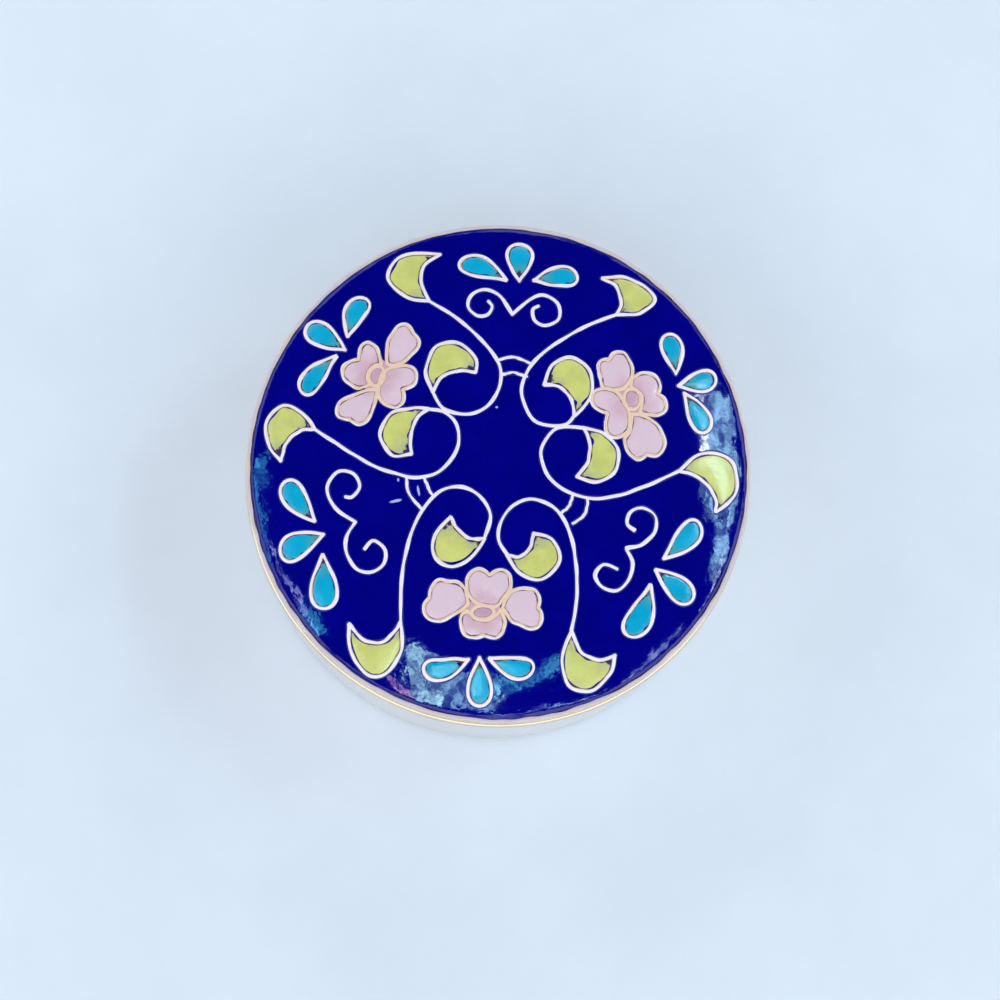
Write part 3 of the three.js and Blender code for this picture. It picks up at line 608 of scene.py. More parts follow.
def make_piece(name, grids, material, replaced, marks=None, ring=False):
    """A piece from closed grids of rows and columns, in mm.

    Columns wrap round. The first and last rows close on themselves, where points that fall together
    are made one, or with `ring` the last row joins the first. A grid that comes out inside out by
    its signed volume is turned. `marks` holds for each grid its named numbers at each point.
    """
    points, faces, start = [], [], 0
    for grid in grids:
        rows, columns = grid.shape[:2]
        index = np.arange(rows * columns).reshape(rows, columns)
        below = np.vstack([index, index[:1]]) if ring else index
        a, b = below[:-1], np.roll(below[:-1], -1, 1)
        d, c = below[1:], np.roll(below[1:], -1, 1)
        quads = np.stack([a, b, c, d], -1).reshape(-1, 4)
        flat = grid.reshape(-1, 3)
        p, q, r, s = (flat[quads[:, i]] for i in range(4))
        volume = ((p * np.cross(q, r)).sum() + (p * np.cross(r, s)).sum()) / 6
        faces.append((quads if volume > 0 else quads[:, ::-1]) + start)
        points.append(flat)
        start += len(flat)
    mesh = bpy.data.meshes.new(name)
    mesh.from_pydata(np.concatenate(points) * MM, [], np.concatenate(faces).tolist())
    for mark in marks[0] if marks else ():
        layer = mesh.attributes.new(mark, "FLOAT", "POINT")
        values = np.concatenate([np.ravel(m[mark]) for m in marks])
        layer.data.foreach_set("value", values.astype(np.float32))
    whole = bmesh.new()
    whole.from_mesh(mesh)
    bmesh.ops.remove_doubles(whole, verts=whole.verts, dist=MERGED * MM)
    bmesh.ops.dissolve_degenerate(whole, edges=whole.edges, dist=MERGED * MM)
    whole.to_mesh(mesh)
    whole.free()
    mesh.polygons.foreach_set("use_smooth", np.ones(len(mesh.polygons), bool))
    mesh.materials.append(material)
    piece = new_object(name, mesh)
    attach(piece, "root")
    if replaced:
        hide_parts(*replaced)
    return piece


# ---------------------------------------------------------------- finishes


class Reading:
    """A value on its way between nodes. Arithmetic on it adds Math nodes."""

    def __init__(self, recipe, socket):
        self.recipe, self.socket = recipe, socket

    def maths(self, operation, *terms):
        return self.recipe.node("ShaderNodeMath", {"operation": operation}, dict(enumerate(terms)))

    def __add__(self, other):
        return self.maths("ADD", self, other)

    def __sub__(self, other):
        return self.maths("SUBTRACT", self, other)

    def __rsub__(self, other):
        return self.maths("SUBTRACT", other, self)

    def __mul__(self, other):
        return self.maths("MULTIPLY", self, other)

    def __rtruediv__(self, other):
        return self.maths("DIVIDE", other, self)

    __radd__ = __add__
    __rmul__ = __mul__

    def within(self, low, high):
        """0 at low, 1 at high, and a smooth step between them."""
        return self.recipe.node("ShaderNodeMapRange", {"interpolation_type": "SMOOTHSTEP"},
                                {"Value": self, "From Min": low, "From Max": high})


class Recipe:
    """The node tree of a material or of the world, built one node at a time."""

    def __init__(self, tree):
        self.tree = tree

    def node(self, kind, settings, inputs, output=0):
        """Adds a node: its settings first, then its inputs, which are values or other readings."""
        made = self.tree.nodes.new(kind)
        for key, value in settings.items():
            if key == "stops":
                ramp = made.color_ramp.elements
                while len(ramp) < len(value):
                    ramp.new(0.5)
                for element, (place, colour) in zip(ramp, value):
                    element.position, element.color = place, (*colour, 1)
            else:
                setattr(made, key, value)
        for key, value in inputs.items():
            if isinstance(value, Reading):
                self.tree.links.new(value.socket, made.inputs[key])
            else:
                made.inputs[key].default_value = value
        return Reading(self, made.outputs[output]) if made.outputs else None

    def place(self):
        """Object coordinates, in metres."""
        return self.node("ShaderNodeTexCoord", {}, {}, "Object")

    def noise(self, scale, detail=2.0, roughness=0.5, at=None):
        """Smooth random values between 0 and 1; scale is in patches to the metre."""
        return self.node("ShaderNodeTexNoise", {}, {
            "Vector": at or self.place(), "Scale": scale, "Detail": detail, "Roughness": roughness})

    def mix(self, factor, first, second):
        """One colour mixed into another."""
        return self.node("ShaderNodeMix", {"data_type": "RGBA"}, {0: factor, 6: first, 7: second}, 2)

    def mark(self, name):
        """A number stored on the mesh."""
        return self.node("ShaderNodeAttribute", {"attribute_name": name}, {}, "Fac")

    def vector(self, operation, inputs, output=0):
        """One operation of a Vector Math node."""
        return self.node("ShaderNodeVectorMath", {"operation": operation}, inputs, output)

    def scaled(self, vector, scale):
        """Coordinates multiplied by a scale of their own in each direction."""
        return self.node("ShaderNodeMapping", {}, {"Vector": vector, "Scale": scale})

    def patch(self, vector, middle, half, turn):
        """Coordinates counted from the middle of a turned patch of a level plane, in half sizes."""
        return self.node("ShaderNodeMapping", {"vector_type": "TEXTURE"}, {
            "Vector": vector, "Location": (*middle, 0), "Rotation": (0, 0, np.radians(turn)),
            "Scale": (*half, 1.0)})

    def bump(self, height, distance):
        """A normal bent by a height of 0 to 1 that stands for `distance` metres."""
        return self.node("ShaderNodeBump", {}, {"Height": height, "Distance": distance, "Strength": 1.0})


def new_finish(name):
    """A fresh material and its recipe."""
    material = bpy.data.materials.new(name)
    material.use_nodes = True
    material.node_tree.nodes.clear()
    return material, Recipe(material.node_tree)


def shade(recipe, inputs):
    """Ends a material in a Principled shader."""
    shader = recipe.node("ShaderNodeBsdfPrincipled", {}, inputs, "BSDF")
    recipe.node("ShaderNodeOutputMaterial", {}, {"Surface": shader})


def solid(colour):
    return (*colour[:3], 1.0)


def shade_of(colour, factor):
    """A colour made darker or lighter."""
    return tuple(min(c * factor, 1.0) for c in colour[:3]) + (1.0,)


def glaze(recipe, base, roughness, height):
    """Ends an enamel: glassy, and bent by a height of 0 to 1 that stands for ENAMEL_BUMP."""
    shade(recipe, {"Base Color": base, "Roughness": roughness, "IOR": ENAMEL_IOR,
                   "Normal": recipe.bump(height, ENAMEL_BUMP)})


def pitted(recipe, base, cloud, bare, dark, roughness):
    """Ends an enamel that has pits down to the dark ground where `bare` is 1."""
    glaze(recipe, recipe.mix(bare, base, dark), roughness + 0.1 * cloud + 0.3 * bare,
          recipe.noise(700, 3.0) - 1.5 * bare)


def ground_enamel(colour):
    """Polished cobalt enamel: dull close beside the wires, faintly waxy, with a few nicks."""
    material, r = new_finish("cobalt_enamel")
    cloud = r.noise(260, 3.0)
    base = r.mix(cloud.within(0.35, 0.75), shade_of(colour, 0.9), shade_of(colour, 1.08))
    rub = r.noise(1500, 4.0, 0.6)
    nicks = None
    for (x, y), (wide, high), turn in GROUND_NICKS:
        spot = r.patch(r.place(), (x * MM, y * MM), (wide * MM, high * MM), turn)
        flat = r.vector("MULTIPLY", {0: spot, 1: (1, 1, 0)})
        far = r.vector("LENGTH", {0: flat}, "Value")
        mask = 1 - (far + 0.9 * rub).within(1.1, 1.5)
        nicks = mask if nicks is None else nicks.maths("MAXIMUM", nicks, mask)
    base = r.mix(nicks, base, NICK_COLOUR)
    beside_wire = 1 - r.mark("wire_gap").within(0.06, 0.16)
    height = 0.6 * r.noise(420, 2.0) + 0.15 * r.noise(1400, 2.0)
    dull = 0.4 * nicks + 0.5 * beside_wire
    glaze(r, base, 0.035 + 0.06 * rub.within(0.5, 0.8) + dull, height)
    return material


def cell_enamel(name, colour, greyed, stain, stain_and_shade_width, pits):
    """Enamel in a cell.

    It is clouded, darkened along the wire for about the width given in mm (partly a stain, partly painted
    shade of the gap beside the wire), paler and greyer towards the cell's corners, and pitted down to
    the dark ground at the corners and here and there at the edge.
    """
    material, r = new_finish(name)
    gap, corner = r.mark("rim_gap"), r.mark("from_corner")
    cloud = r.noise(520, 3.0, 0.6)
    ragged = r.noise(1900, 3.0, 0.7) - 0.5
    base = r.mix(cloud.within(0.3, 0.7), shade_of(colour, 0.93), shade_of(colour, 1.07))
    base = r.mix((1 - (corner + 2.5 * (cloud - 0.5)).within(0.7, 2.4)) * 0.65, base, solid(greyed))
    edge = gap - 0.22 * ragged
    # Painted shade along the wire: the fill is darkened where it meets its wire, partly a stain and partly
    # the shadow of the gap there.
    base = r.mix((1 - edge.within(stain_and_shade_width * 0.3, stain_and_shade_width * 1.2)) * 0.8, base, solid(stain))
    patchy = r.noise(900, 2.0)
    bare = (1 - (corner + 3.0 * (patchy - 0.5) + 1.5 * ragged).within(0.65, 0.95)) * (
        1 - gap.within(0.3, 0.6))
    bare = bare.maths("MAXIMUM", bare, (1 - (gap + 0.3 * ragged).within(0.05, 0.14)) * patchy.within(
        pits, pits + 0.05))
    pitted(r, base, cloud, bare, CELL_PIT, 0.09)
    return material


def petal_enamel(name, colour, heel, stain):
    """Pink enamel, fading from a deeper heel to a pale edge, with a few dark pits at its edge."""
    material, r = new_finish(name)
    gap, out = r.mark("rim_gap"), r.mark("from_centre")
    cloud = r.noise(600, 3.0, 0.6)
    ragged = r.noise(1900, 3.0, 0.7) - 0.5
    base = r.mix((out + 2.0 * (cloud - 0.5)).within(0.9, 2.9), solid(heel), solid(colour))
    base = r.mix(cloud.within(0.5, 0.75) * 0.5, base, shade_of(colour, 1.1))
    edge = gap - 0.16 * ragged
    base = r.mix((1 - edge.within(0.02, 0.15)) * 0.75, base, solid(stain))
    bare = (1 - (gap + 0.3 * ragged).within(0.04, 0.13)) * r.noise(650, 1.0).within(0.57, 0.61)
    pitted(r, base, cloud, bare, PETAL_PIT, 0.1)
    return material


def wire_metal(name, pale, gold):
    """Gilt wire, ground flat and bright: its pale colour is a painted reflection of the bright surroundings,
    and it is golden where its gilding mark is high (its inner side, and where it is sheltered).
    """
    material, r = new_finish(name)
    worn = r.noise(420, 3.0, 0.6)
    grit = r.noise(3500, 3.0, 0.7)
    gilding = r.mark("gilding") + 0.9 * (worn - 0.5) + 0.5 * (grit - 0.5)
    # Painted reflection: the pale colour stands for the bright surroundings mirrored in the wire's top, and
    # gold shows where the gilding mark is high.
    base = r.mix(gilding.within(0.2, 0.6), solid(pale), solid(gold))
    base = r.mix(grit.within(0.6, 0.8) * 0.25, base, shade_of(gold, 0.6))
    shade(r, {"Base Color": base, "Metallic": 0.22, "Roughness": 0.38 + 0.2 * grit,
              "Normal": r.bump(grit, 0.00001)})
    return material


def brass_metal(name, colour, tarnish, roughness):
    """Turned and polished brass: fine turning lines round it and a faint cloud of tarnish."""
    material, r = new_finish(name)
    squeezed = r.scaled(r.place(), (0.06, 0.06, 1.0))
    lines = r.noise(9000, 2.0, 0.6, squeezed)
    cloud = r.noise(160, 4.0, 0.6)
    spots = r.noise(900, 3.0, 0.7)
    dull = cloud.within(0.5, 0.8) * 0.4 + spots.within(0.62, 0.75) * 0.25
    base = r.mix(dull, solid(colour), solid(tarnish))
    shade(r, {"Base Color": base, "Metallic": 1.0,
              "Roughness": roughness + 0.12 * dull + 0.06 * lines,
              "Normal": r.bump(lines + 0.5 * spots, 0.000004)})
    return material


def pale_floor(colour):
    """A plain pale matt surface, very faintly mottled."""
    material, r = new_finish("pale_floor")
    mottle = r.noise(45, 4.0, 0.6)
    base = r.mix(mottle.within(0.3, 0.7), shade_of(colour, 0.975), shade_of(colour, 1.02))
    shade(r, {"Base Color": base, "Roughness": 0.9, "Specular IOR Level": 0.1})
    return material


# ---------------------------------------------------------------- what a user may change


def length_property(name, description, default, largest):
    """A length given in mm and kept in metres."""
    return FloatProperty(name=name, description=description, default=default * MM, min=0.0,
                         max=largest * MM, unit="LENGTH", precision=5)


class EnamelBoxSizes(bpy.types.PropertyGroup):
    """Sizes of the wires and of the enamel between them."""

    wire_proud: length_property("Wire height", "How far the wires stand over the enamel", 0.08, 0.3)
    wire_unevenness: FloatProperty(
        name="Wire unevenness", description="How much the width of a wire varies along it",
        default=0.1, min=0.0, max=0.3, subtype="FACTOR")
    wire_stray: length_property(
        "Wire stray", "How far a wire strays sideways from its line", 0.02, 0.1)
    leaf_gap: length_property(
        "Leaf gap", "Usual gap between a leaf's enamel and its wire", 0.09, 0.2)
    drop_gap: length_property(
        "Drop gap", "Usual gap between a drop's enamel and its wire", 0.06, 0.2)
    petal_gap: length_property(
        "Petal gap", "Usual gap between a petal's enamel and its wire", 0.01, 0.2)
    crown: length_property("Fill crown", "How far an enamel fill rises in its middle", 0.03, 0.2)
    segments: IntProperty(
        name="Turned segments", description="Facets round everything that is turned",
        default=300, min=48, max=720)


def colour_property(name, description, default):
    return FloatVectorProperty(name=name, description=description, subtype="COLOR",
                               default=default, min=0.0, max=1.0)


class EnamelBoxColours(bpy.types.PropertyGroup):
    """Colours of the enamels and the metals."""

    cobalt: colour_property("Cobalt", "Enamel of the ground", (0.0006, 0.0006, 0.215))
    turquoise: colour_property("Turquoise", "Enamel of the drops", (0.003, 0.38, 0.62))
    leaf: colour_property("Leaf green", "Enamel of the leaves", (0.63, 0.64, 0.19))
    petal: colour_property("Petal pink", "Enamel of the petals", (0.76, 0.56, 0.65))
    heel: colour_property("Heel pink", "Enamel at the heels of the petals", (0.67, 0.42, 0.50))
    centre: colour_property("Centre pink", "Enamel in the middle of a flower", (0.60, 0.36, 0.46))
    # The wires' pale colour is a painted reflection of the bright surroundings, not the metal's own colour.
    wire: colour_property("Wire", "Rubbed top of the wires", (0.93, 0.84, 0.95))
    gilt: colour_property("Gilt", "Wires where their gilding is left", (0.88, 0.63, 0.46))
    brass: colour_property("Brass", "Band and bead of the lid", (0.82, 0.72, 0.56))
    base: colour_property("Base", "Paler metal of the base", (0.86, 0.83, 0.79))
    floor: colour_property("Floor", "Surface that the box stands on", (0.755, 0.80, 0.88))


# ---------------------------------------------------------------- the operators


class BuildPiece:
    """What the operators share."""

    bl_options = {"REGISTER", "UNDO"}

    @property
    def colours(self):
        return bpy.context.scene.enamel_box_colours

    @property
    def sizes(self):
        return bpy.context.scene.enamel_box_sizes


class ENAMELBOX_OT_base(BuildPiece, bpy.types.Operator):
    """Turns the hollow base: foot ring, wall, floor and collar"""

    bl_idname = "enamel_box.base"
    bl_label = "Base"

    def execute(self, context):
        soft = EDGE_SOFT
        profile = [
            (0, FLOOR_LOW), (10, FLOOR_LOW), (FOOT_INSIDE - 0.6, FLOOR_LOW),
            *arc(FOOT_INSIDE - 0.6, FLOOR_LOW - 0.12, 0.12, 90, 30, 3),
            (FOOT_INSIDE, 0.12), *arc(FOOT_INSIDE + 0.12, 0.12, 0.12, 180, 270, 4),
            (FOOT_INSIDE + 1, 0),
            *arc(BASE_RADIUS - FOOT_ROUND, FOOT_ROUND, FOOT_ROUND, -90, 0, 12),
            (BASE_RADIUS, 5), (BASE_RADIUS, 9), (BASE_RADIUS, 13), (BASE_RADIUS, 17),
            *arc(BASE_RADIUS - soft, BASE_SHOULDER - soft, soft, 0, 90, 6),
            (COLLAR + 0.05, BASE_SHOULDER), (COLLAR, BASE_SHOULDER + 0.05),
            *arc(COLLAR - soft, BASE_TOP - soft, soft, 0, 90, 6),
            *arc(COLLAR_INSIDE + soft, BASE_TOP - soft, soft, 90, 180, 6),
            (COLLAR_INSIDE, COLLAR_LOW + 0.1), (COLLAR_INSIDE + 0.1, COLLAR_LOW),
            (BASE_INSIDE, COLLAR_LOW - 0.9), (BASE_INSIDE, 12), (BASE_INSIDE, 6),
            *arc(BASE_INSIDE - FOOT_ROUND, FLOOR_TOP + FOOT_ROUND, FOOT_ROUND, 0, -90, 8),
            (14, FLOOR_TOP), (7, FLOOR_TOP), (0, FLOOR_TOP)]
        metal = brass_metal("base_metal", self.colours.base, BASE_TARNISH, 0.22)
        make_piece("turned_base", [turned(profile, self.sizes.segments)], metal, ["base"])
        return {"FINISHED"}


class ENAMELBOX_OT_lid_cap(BuildPiece, bpy.types.Operator):
    """Turns the lid's cap: domed plate, side band, bead and rim"""

    bl_idname = "enamel_box.lid_cap"
    bl_label = "Lid cap"

    def execute(self, context):
        inner = np.linspace(0, LID_INSIDE - 0.4, 24)
        under = [(x, EDGE_HEIGHT + PLATE_BOTTOM + rise(x)) for x in inner]
        over = [(x, EDGE_HEIGHT + PLATE_TOP + rise(x)) for x in np.linspace(24.3, 0, 20)]
        corner = under[-1][1]
        profile = [
            *under, (LID_INSIDE - 0.15, corner - 0.12), (LID_INSIDE, corner - 0.35),
            *arc(LID_INSIDE + 0.15, LID_LOW + 0.15, 0.15, 180, 270, 4),
            *arc(LID_RADIUS - 0.05, LID_LOW + BEAD, BEAD, -90, 78, 14),
            (LID_RADIUS, LID_LOW + 2 * BEAD + 0.06), (LID_RADIUS, LID_LOW + 2 * BEAD + 0.3),
            (LID_RADIUS, EDGE_HEIGHT - 1.4), (LID_RADIUS, EDGE_HEIGHT - 0.7),
            (LID_RADIUS + 0.02, EDGE_HEIGHT - 0.4), (LID_RADIUS + 0.07, EDGE_HEIGHT - 0.25),
            *arc(LID_RADIUS - 0.03, EDGE_HEIGHT - 0.14, 0.1, 0, 90, 6),
            (24.6, EDGE_HEIGHT - 0.12), (24.42, EDGE_HEIGHT - 0.15), (24.36, EDGE_HEIGHT - 0.25),
            *over]
        metal = brass_metal("lid_brass", self.colours.brass, LID_TARNISH, 0.18)
        make_piece("lid_cap", [turned(profile, self.sizes.segments)], metal, ["lid_shell"])
        return {"FINISHED"}


class ENAMELBOX_OT_ground(BuildPiece, bpy.types.Operator):
    """Lays the cobalt ground over the whole dome, with its uneven edge"""

    bl_idname = "enamel_box.ground"
    bl_label = "Cobalt ground"

    def execute(self, context):
        rng = np.random.default_rng(11)
        around, rings = 480, 150
        turns = np.arange(around) / around
        edge = GROUND_EDGE + GROUND_STRAY * wave(turns, rng, 1, 18)
        share = np.linspace(0, 1, rings) ** 0.85
        a = 2 * np.pi * turns
        unit = np.stack([np.cos(a), np.sin(a)], 1)
        plan = share[:, None, None] * (edge[:, None] * unit)[None]
        top = on_dome(plan, GROUND_LEVEL)
        low = on_dome(np.stack([plan[-1], plan[0]]), GROUND_DEEP)
        lines = [line for lines in pattern_lines().values() for line in lines]
        gap = nearest(plan, even_all(lines, 0.2)) - CELL_WIRE / 2
        marks = {"wire_gap": np.concatenate([gap, gap[[-1, 0]]])}
        nodes = ["enamel_ground", "enamel_nook", "enamel_link_left", "enamel_link_top"]
        make_piece("cobalt_ground", [np.concatenate([top, low])], ground_enamel(self.colours.cobalt),
                   nodes, [marks])
        return {"FINISHED"}


class ENAMELBOX_OT_drops(BuildPiece, bpy.types.Operator):
    """Fills the turquoise drops"""

    bl_idname = "enamel_box.drops"
    bl_label = "Turquoise drops"

    def execute(self, context):
        rng = np.random.default_rng(21)
        finish = cell_enamel("turquoise_enamel", self.colours.turquoise, DROP_GREY, DROP_STAIN_AND_SHADE,
                             0.13, 0.62)
        for fan, drops in DROPS.items():
            for i, drop in enumerate(drops, 1):
                line = drop_line(drop)
                rim, spine = drop_spine(drop, line)
                grid, marks = lay_fill(rim, spine, line, rng, self.sizes.drop_gap, [drop[1]])
                make_piece(f"turquoise_drop_{fan}_{i}", [grid], finish, [f"drop_{fan}_{i}"],
                           [marks])
        return {"FINISHED"}


class ENAMELBOX_OT_leaves(BuildPiece, bpy.types.Operator):
    """Fills the yellow-green leaves"""

    bl_idname = "enamel_box.leaves"
    bl_label = "Leaves"

    def execute(self, context):
        rng = np.random.default_rng(31)
        finish = cell_enamel("leaf_enamel", self.colours.leaf, LEAF_GREY, LEAF_STAIN_AND_SHADE, 0.13, 0.56)
        for place, cell in LEAVES.items():
            outer, inner = runs_of(cell)
            wire_line = np.vstack([outer, inner])
            rim, spine = inner_spine(outer, inner[::-1], wire_line)
            grid, marks = lay_fill(rim, spine, wire_line, rng, self.sizes.leaf_gap,
                                   [outer[0], inner[0]])
            make_piece(f"green_leaf_{place}", [grid], finish, [f"leaf_{place}"],
                       [marks])
        return {"FINISHED"}


class ENAMELBOX_OT_flowers(BuildPiece, bpy.types.Operator):
    """Fills the pink petals, the middles of the flowers and the pink between their wires"""

    bl_idname = "enamel_box.flowers"
    bl_label = "Flowers"

    def execute(self, context):
        rng = np.random.default_rng(41)
        colours = self.colours
        petal = petal_enamel("petal_enamel", colours.petal, colours.heel, PETAL_STAIN)
        centre = cell_enamel("centre_enamel", colours.centre, CENTRE_GREY, CENTRE_STAIN_AND_SHADE,
                             0.08, 0.6)
        for flower, petals in PETALS.items():
            oval = CENTRES[flower]
            for i, cell in enumerate(petals, 1):
                line = np.vstack([run[:-1] for run in runs_of(cell)])
                self.fill(f"pink_petal_{flower}_{i}", line, [oval_line(oval)], rng, petal,
                          f"petal_{flower}_{i}", "petal_enamel", oval[0])
            self.fill(f"pink_centre_{flower}", oval_line(oval)[:-1], [], rng, centre,
                      f"flower_centre_{flower}", "centre_enamel", oval[0])
            self.heart(flower, oval, petal)
        return {"FINISHED"}

    def fill(self, name, line, others, rng, finish, node, slot, heart):
        """One fill round its own centroid, kept clear of its own wire and of the others given."""
        rim = line[::2]
        spine = np.broadcast_to(centre_of(line), rim.shape)
        wires = np.vstack([line, *others])
        grid, marks = lay_fill(rim, spine, wires, rng, self.sizes.petal_gap, [FAR_OFF])
        marks["from_centre"] = np.linalg.norm(grid[..., :2] - heart, axis=-1)
        make_piece(name, [grid], finish, [node], [marks])

    def heart(self, flower, oval, finish):
        """The pink enamel that shows between the wires around a flower's middle."""
        rim = oval_line((oval[0], oval[1] + HEART_REACH, oval[2] + HEART_REACH, oval[3]))[:-1]
        share = np.linspace(0, 1, 8)[:, None, None]
        plan = oval[0] + share * (rim - oval[0])
        top = on_dome(plan, GROUND_LEVEL + HEART_CROWN * (1 - share[..., 0] ** 6))
        low = on_dome(plan[[-1, 0]], WIRE_DEEP)
        grid = np.concatenate([top, low])
        near = np.full(grid.shape[:2], 0.3)
        make_piece(f"pink_heart_{flower}", [grid], finish, [f"flower_centre_{flower}"],
                   [{"rim_gap": near, "from_centre": near}])


class ENAMELBOX_OT_wires(BuildPiece, bpy.types.Operator):
    """Bends and lays the wires: cells, tendrils, scrolls, links and the rim"""

    bl_idname = "enamel_box.wires"
    bl_label = "Wires"

    def execute(self, context):
        rng = np.random.default_rng(51)
        # The pale wire colour is a painted reflection; the gilt colour is the metal's own.
        metal = wire_metal("gilt_wire", self.colours.wire, self.colours.gilt)
        lines = pattern_lines()
        inner = {"drops": [turn_of(line) for line in lines["drops"]],
                 "centres": [turn_of(line) for line in lines["centres"]],
                 "leaves": self.sides(LEAVES.values()),
                 "petals": self.sides([cell for cells in PETALS.values() for cell in cells])}
        flower_lines = lines["petals"] + lines["centres"]
        for kind, group in lines.items():
            width = {"links": LINK_WIRE, "tendrils": TENDRIL_WIRE, "scrolls": TENDRIL_WIRE}
            grids, marks = [], []
            for line, inside in zip(group, inner.get(kind, [0] * len(group))):
                grid, inward = lay_wire(line, rng, width.get(kind, CELL_WIRE), inside)
                gilding = INNER_GILDING * np.clip(inward + 0.3, 0, 1)
                if kind in ("petals", "centres"):
                    gilding = gilding + FLOWER_GILDING * np.clip(inward + 1.2, 0, 1)
                    gilding = gilding + self.shelter(grid, line, flower_lines)
                grids.append(grid)
                marks.append({"gilding": gilding})
            make_piece(f"wire_{kind}", grids, metal, ["lid_shell"], marks)
        # The rim wire's lilac colour is a painted reflection of the bright surroundings.
        sheened_rim = wire_metal("rim_wire", RIM_PAINTED_SHEEN, RIM_GILT)
        around = oval_line(((0, 0), RIM_RADIUS, RIM_RADIUS, 0), 900)
        grid, inward = lay_wire(around, rng, RIM_WIDTH, closed=True)
        make_piece("wire_rim", [grid[:-1]], sheened_rim, ["lid_shell"],
                   [{"gilding": inward[:-1] + 0.3}], ring=True)
        return {"FINISHED"}

    def sides(self, cells):
        """For each run of each cell, the side on which the cell lies."""
        return [turn_of(np.vstack(runs)) for runs in map(runs_of, cells) for _ in runs]

    def shelter(self, grid, line, lines):
        """Near 1 where another wire of the flower lies close beside this one."""
        others = even_all([other for other in lines if other is not line], 0.15)
        others = others[nearest(others, line[[0, -1]]) > JOINT_CLEAR]
        gap = nearest(grid[..., :2], others)
        return 0.9 * np.clip((SHELTER_REACH - gap) / SHELTER_FADE, 0, 1)


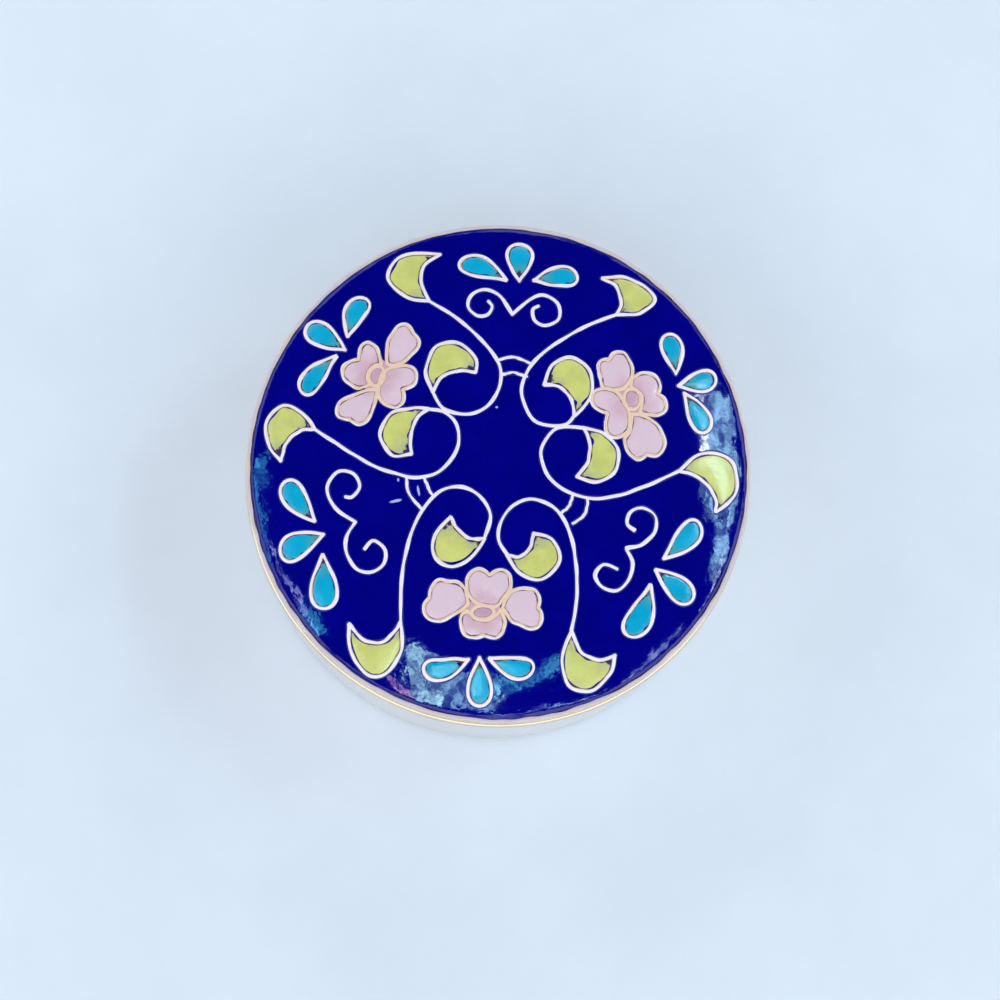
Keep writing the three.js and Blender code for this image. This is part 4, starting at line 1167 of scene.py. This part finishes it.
class ENAMELBOX_OT_stage(BuildPiece, bpy.types.Operator):
    """Sets up the floor, the soft light and the camera"""

    bl_idname = "enamel_box.stage"
    bl_label = "Stage"

    def execute(self, context):
        self.floor()
        self.sky()
        self.camera()
        context.scene.view_settings.view_transform = "Standard"
        return {"FINISHED"}

    def floor(self):
        half = FLOOR_HALF
        mesh = bpy.data.meshes.new("floor")
        corners = [(-half, -half, 0), (half, -half, 0), (half, half, 0), (-half, half, 0)]
        mesh.from_pydata(corners, [], [(0, 1, 2, 3)])
        mesh.materials.append(pale_floor(self.colours.floor))
        new_object("floor", mesh)

    def sky(self):
        """A dark opening overhead with a bright ring round it, a pale horizon and soft windows.

        A window is a rectangle on a level plane one unit up, found from the direction's x / z and
        y / z, with ragged edges and streaks of light in it.
        """
        world = bpy.data.worlds.new("soft_sky")
        world.use_nodes = True
        world.node_tree.nodes.clear()
        bpy.context.scene.world = world
        r = Recipe(world.node_tree)
        way = r.node("ShaderNodeTexCoord", {}, {}, "Generated")
        tilt, turn = np.radians(SKY_TILT)
        axis = (np.sin(tilt) * np.cos(turn), np.sin(tilt) * np.sin(turn), np.cos(tilt))
        cosine = r.vector("DOT_PRODUCT", {0: way, 1: axis}, "Value")
        from_axis = cosine.maths("ARCCOSINE", cosine)
        height = r.node("ShaderNodeSeparateXYZ", {}, {0: way}, 2)
        above = height.maths("MAXIMUM", height, 0.05)
        plane = r.vector("SCALE", {0: way, "Scale": 1 / above})
        ragged = r.noise(16, 4.0, 0.65, plane)
        streaks = r.noise(34, 3.0, 0.6, r.scaled(plane, (1.0, 0.45, 0.0)))
        ring = (from_axis + 0.05 * (ragged - 0.5)).within(*np.radians(SKY_OPENING))
        strength = ring * (SKY_HORIZON + (SKY_RING - SKY_HORIZON) * height.within(0.25, 0.5)) + 0.004
        light = r.vector("SCALE", {0: SKY_COLOUR, "Scale": strength})
        for middle, half, turn, colour, brightness in WINDOWS:
            pane = r.patch(plane, middle, half, turn)
            across, along = (r.node("ShaderNodeSeparateXYZ", {}, {0: pane}, i) for i in (0, 1))
            far = across.maths("MAXIMUM", across.maths("ABSOLUTE", across),
                               along.maths("ABSOLUTE", along))
            inside = 1 - (far + 0.8 * (ragged - 0.5)).within(0.9, 1.0)
            patchy = 0.2 + 2.2 * streaks.within(0.4, 0.66)
            light = r.vector("MULTIPLY_ADD", {0: colour, 1: inside * patchy * brightness, 2: light})
        shine = r.node("ShaderNodeBackground", {}, {"Color": light, "Strength": 1.0})
        r.node("ShaderNodeOutputWorld", {}, {"Surface": shine})

    def camera(self):
        """The camera: tilted off the vertical over the near edge, looking at the lid."""
        lens = bpy.data.cameras.new("camera")
        lens.sensor_width, lens.lens = FILM_WIDTH, FILM_WIDTH * FOCAL
        lens.clip_start, lens.clip_end = 0.01, 20.0
        tilt, turn = np.radians(CAMERA_TILT), np.radians(CAMERA_TURN)
        back = Vector((np.sin(tilt) * np.cos(turn), np.sin(tilt) * np.sin(turn), np.cos(tilt)))
        target = Vector((0, 0, EDGE_HEIGHT * MM))
        right = (-back).cross(Vector((0, 1, 0))).normalized()
        up = right.cross(-back)
        look = (-back - CAMERA_AIM[0] / FOCAL * right - CAMERA_AIM[1] / FOCAL * up).normalized()
        right = look.cross(Vector((0, 1, 0))).normalized()
        up = right.cross(look)
        camera = new_object("camera", lens)
        place = target + back * CAMERA_DISTANCE
        facing = Matrix((right, up, -look)).transposed().to_4x4()
        camera.matrix_world = Matrix.Translation(place) @ facing
        bpy.context.scene.camera = camera


CLASSES = [
    EnamelBoxSizes, EnamelBoxColours, ENAMELBOX_OT_base, ENAMELBOX_OT_lid_cap, ENAMELBOX_OT_ground,
    ENAMELBOX_OT_drops, ENAMELBOX_OT_leaves, ENAMELBOX_OT_flowers, ENAMELBOX_OT_wires,
    ENAMELBOX_OT_stage,
]
OPERATORS = [c for c in CLASSES if issubclass(c, bpy.types.Operator)]


class ENAMELBOX_PT_panel(bpy.types.Panel):
    """Lists the box's sizes, colours and pieces"""

    bl_idname = "ENAMELBOX_PT_panel"
    bl_label = "Enamel Box"
    bl_space_type = "VIEW_3D"
    bl_region_type = "UI"
    bl_category = "Enamel Box"

    def draw(self, context):
        for group in (context.scene.enamel_box_sizes, context.scene.enamel_box_colours):
            column = self.layout.column()
            for name in group.__annotations__:
                column.prop(group, name)
        for operator in OPERATORS:
            self.layout.operator(operator.bl_idname)


def register():
    for c in [*CLASSES, ENAMELBOX_PT_panel]:
        bpy.utils.register_class(c)
    bpy.types.Scene.enamel_box_sizes = PointerProperty(type=EnamelBoxSizes)
    bpy.types.Scene.enamel_box_colours = PointerProperty(type=EnamelBoxColours)


def unregister():
    del bpy.types.Scene.enamel_box_sizes
    del bpy.types.Scene.enamel_box_colours
    for c in reversed([*CLASSES, ENAMELBOX_PT_panel]):
        bpy.utils.unregister_class(c)


def main():
    register()
    for operator in OPERATORS:
        group, name = operator.bl_idname.split(".")
        getattr(getattr(bpy.ops, group), name)()


if __name__ == "__main__":
    main()
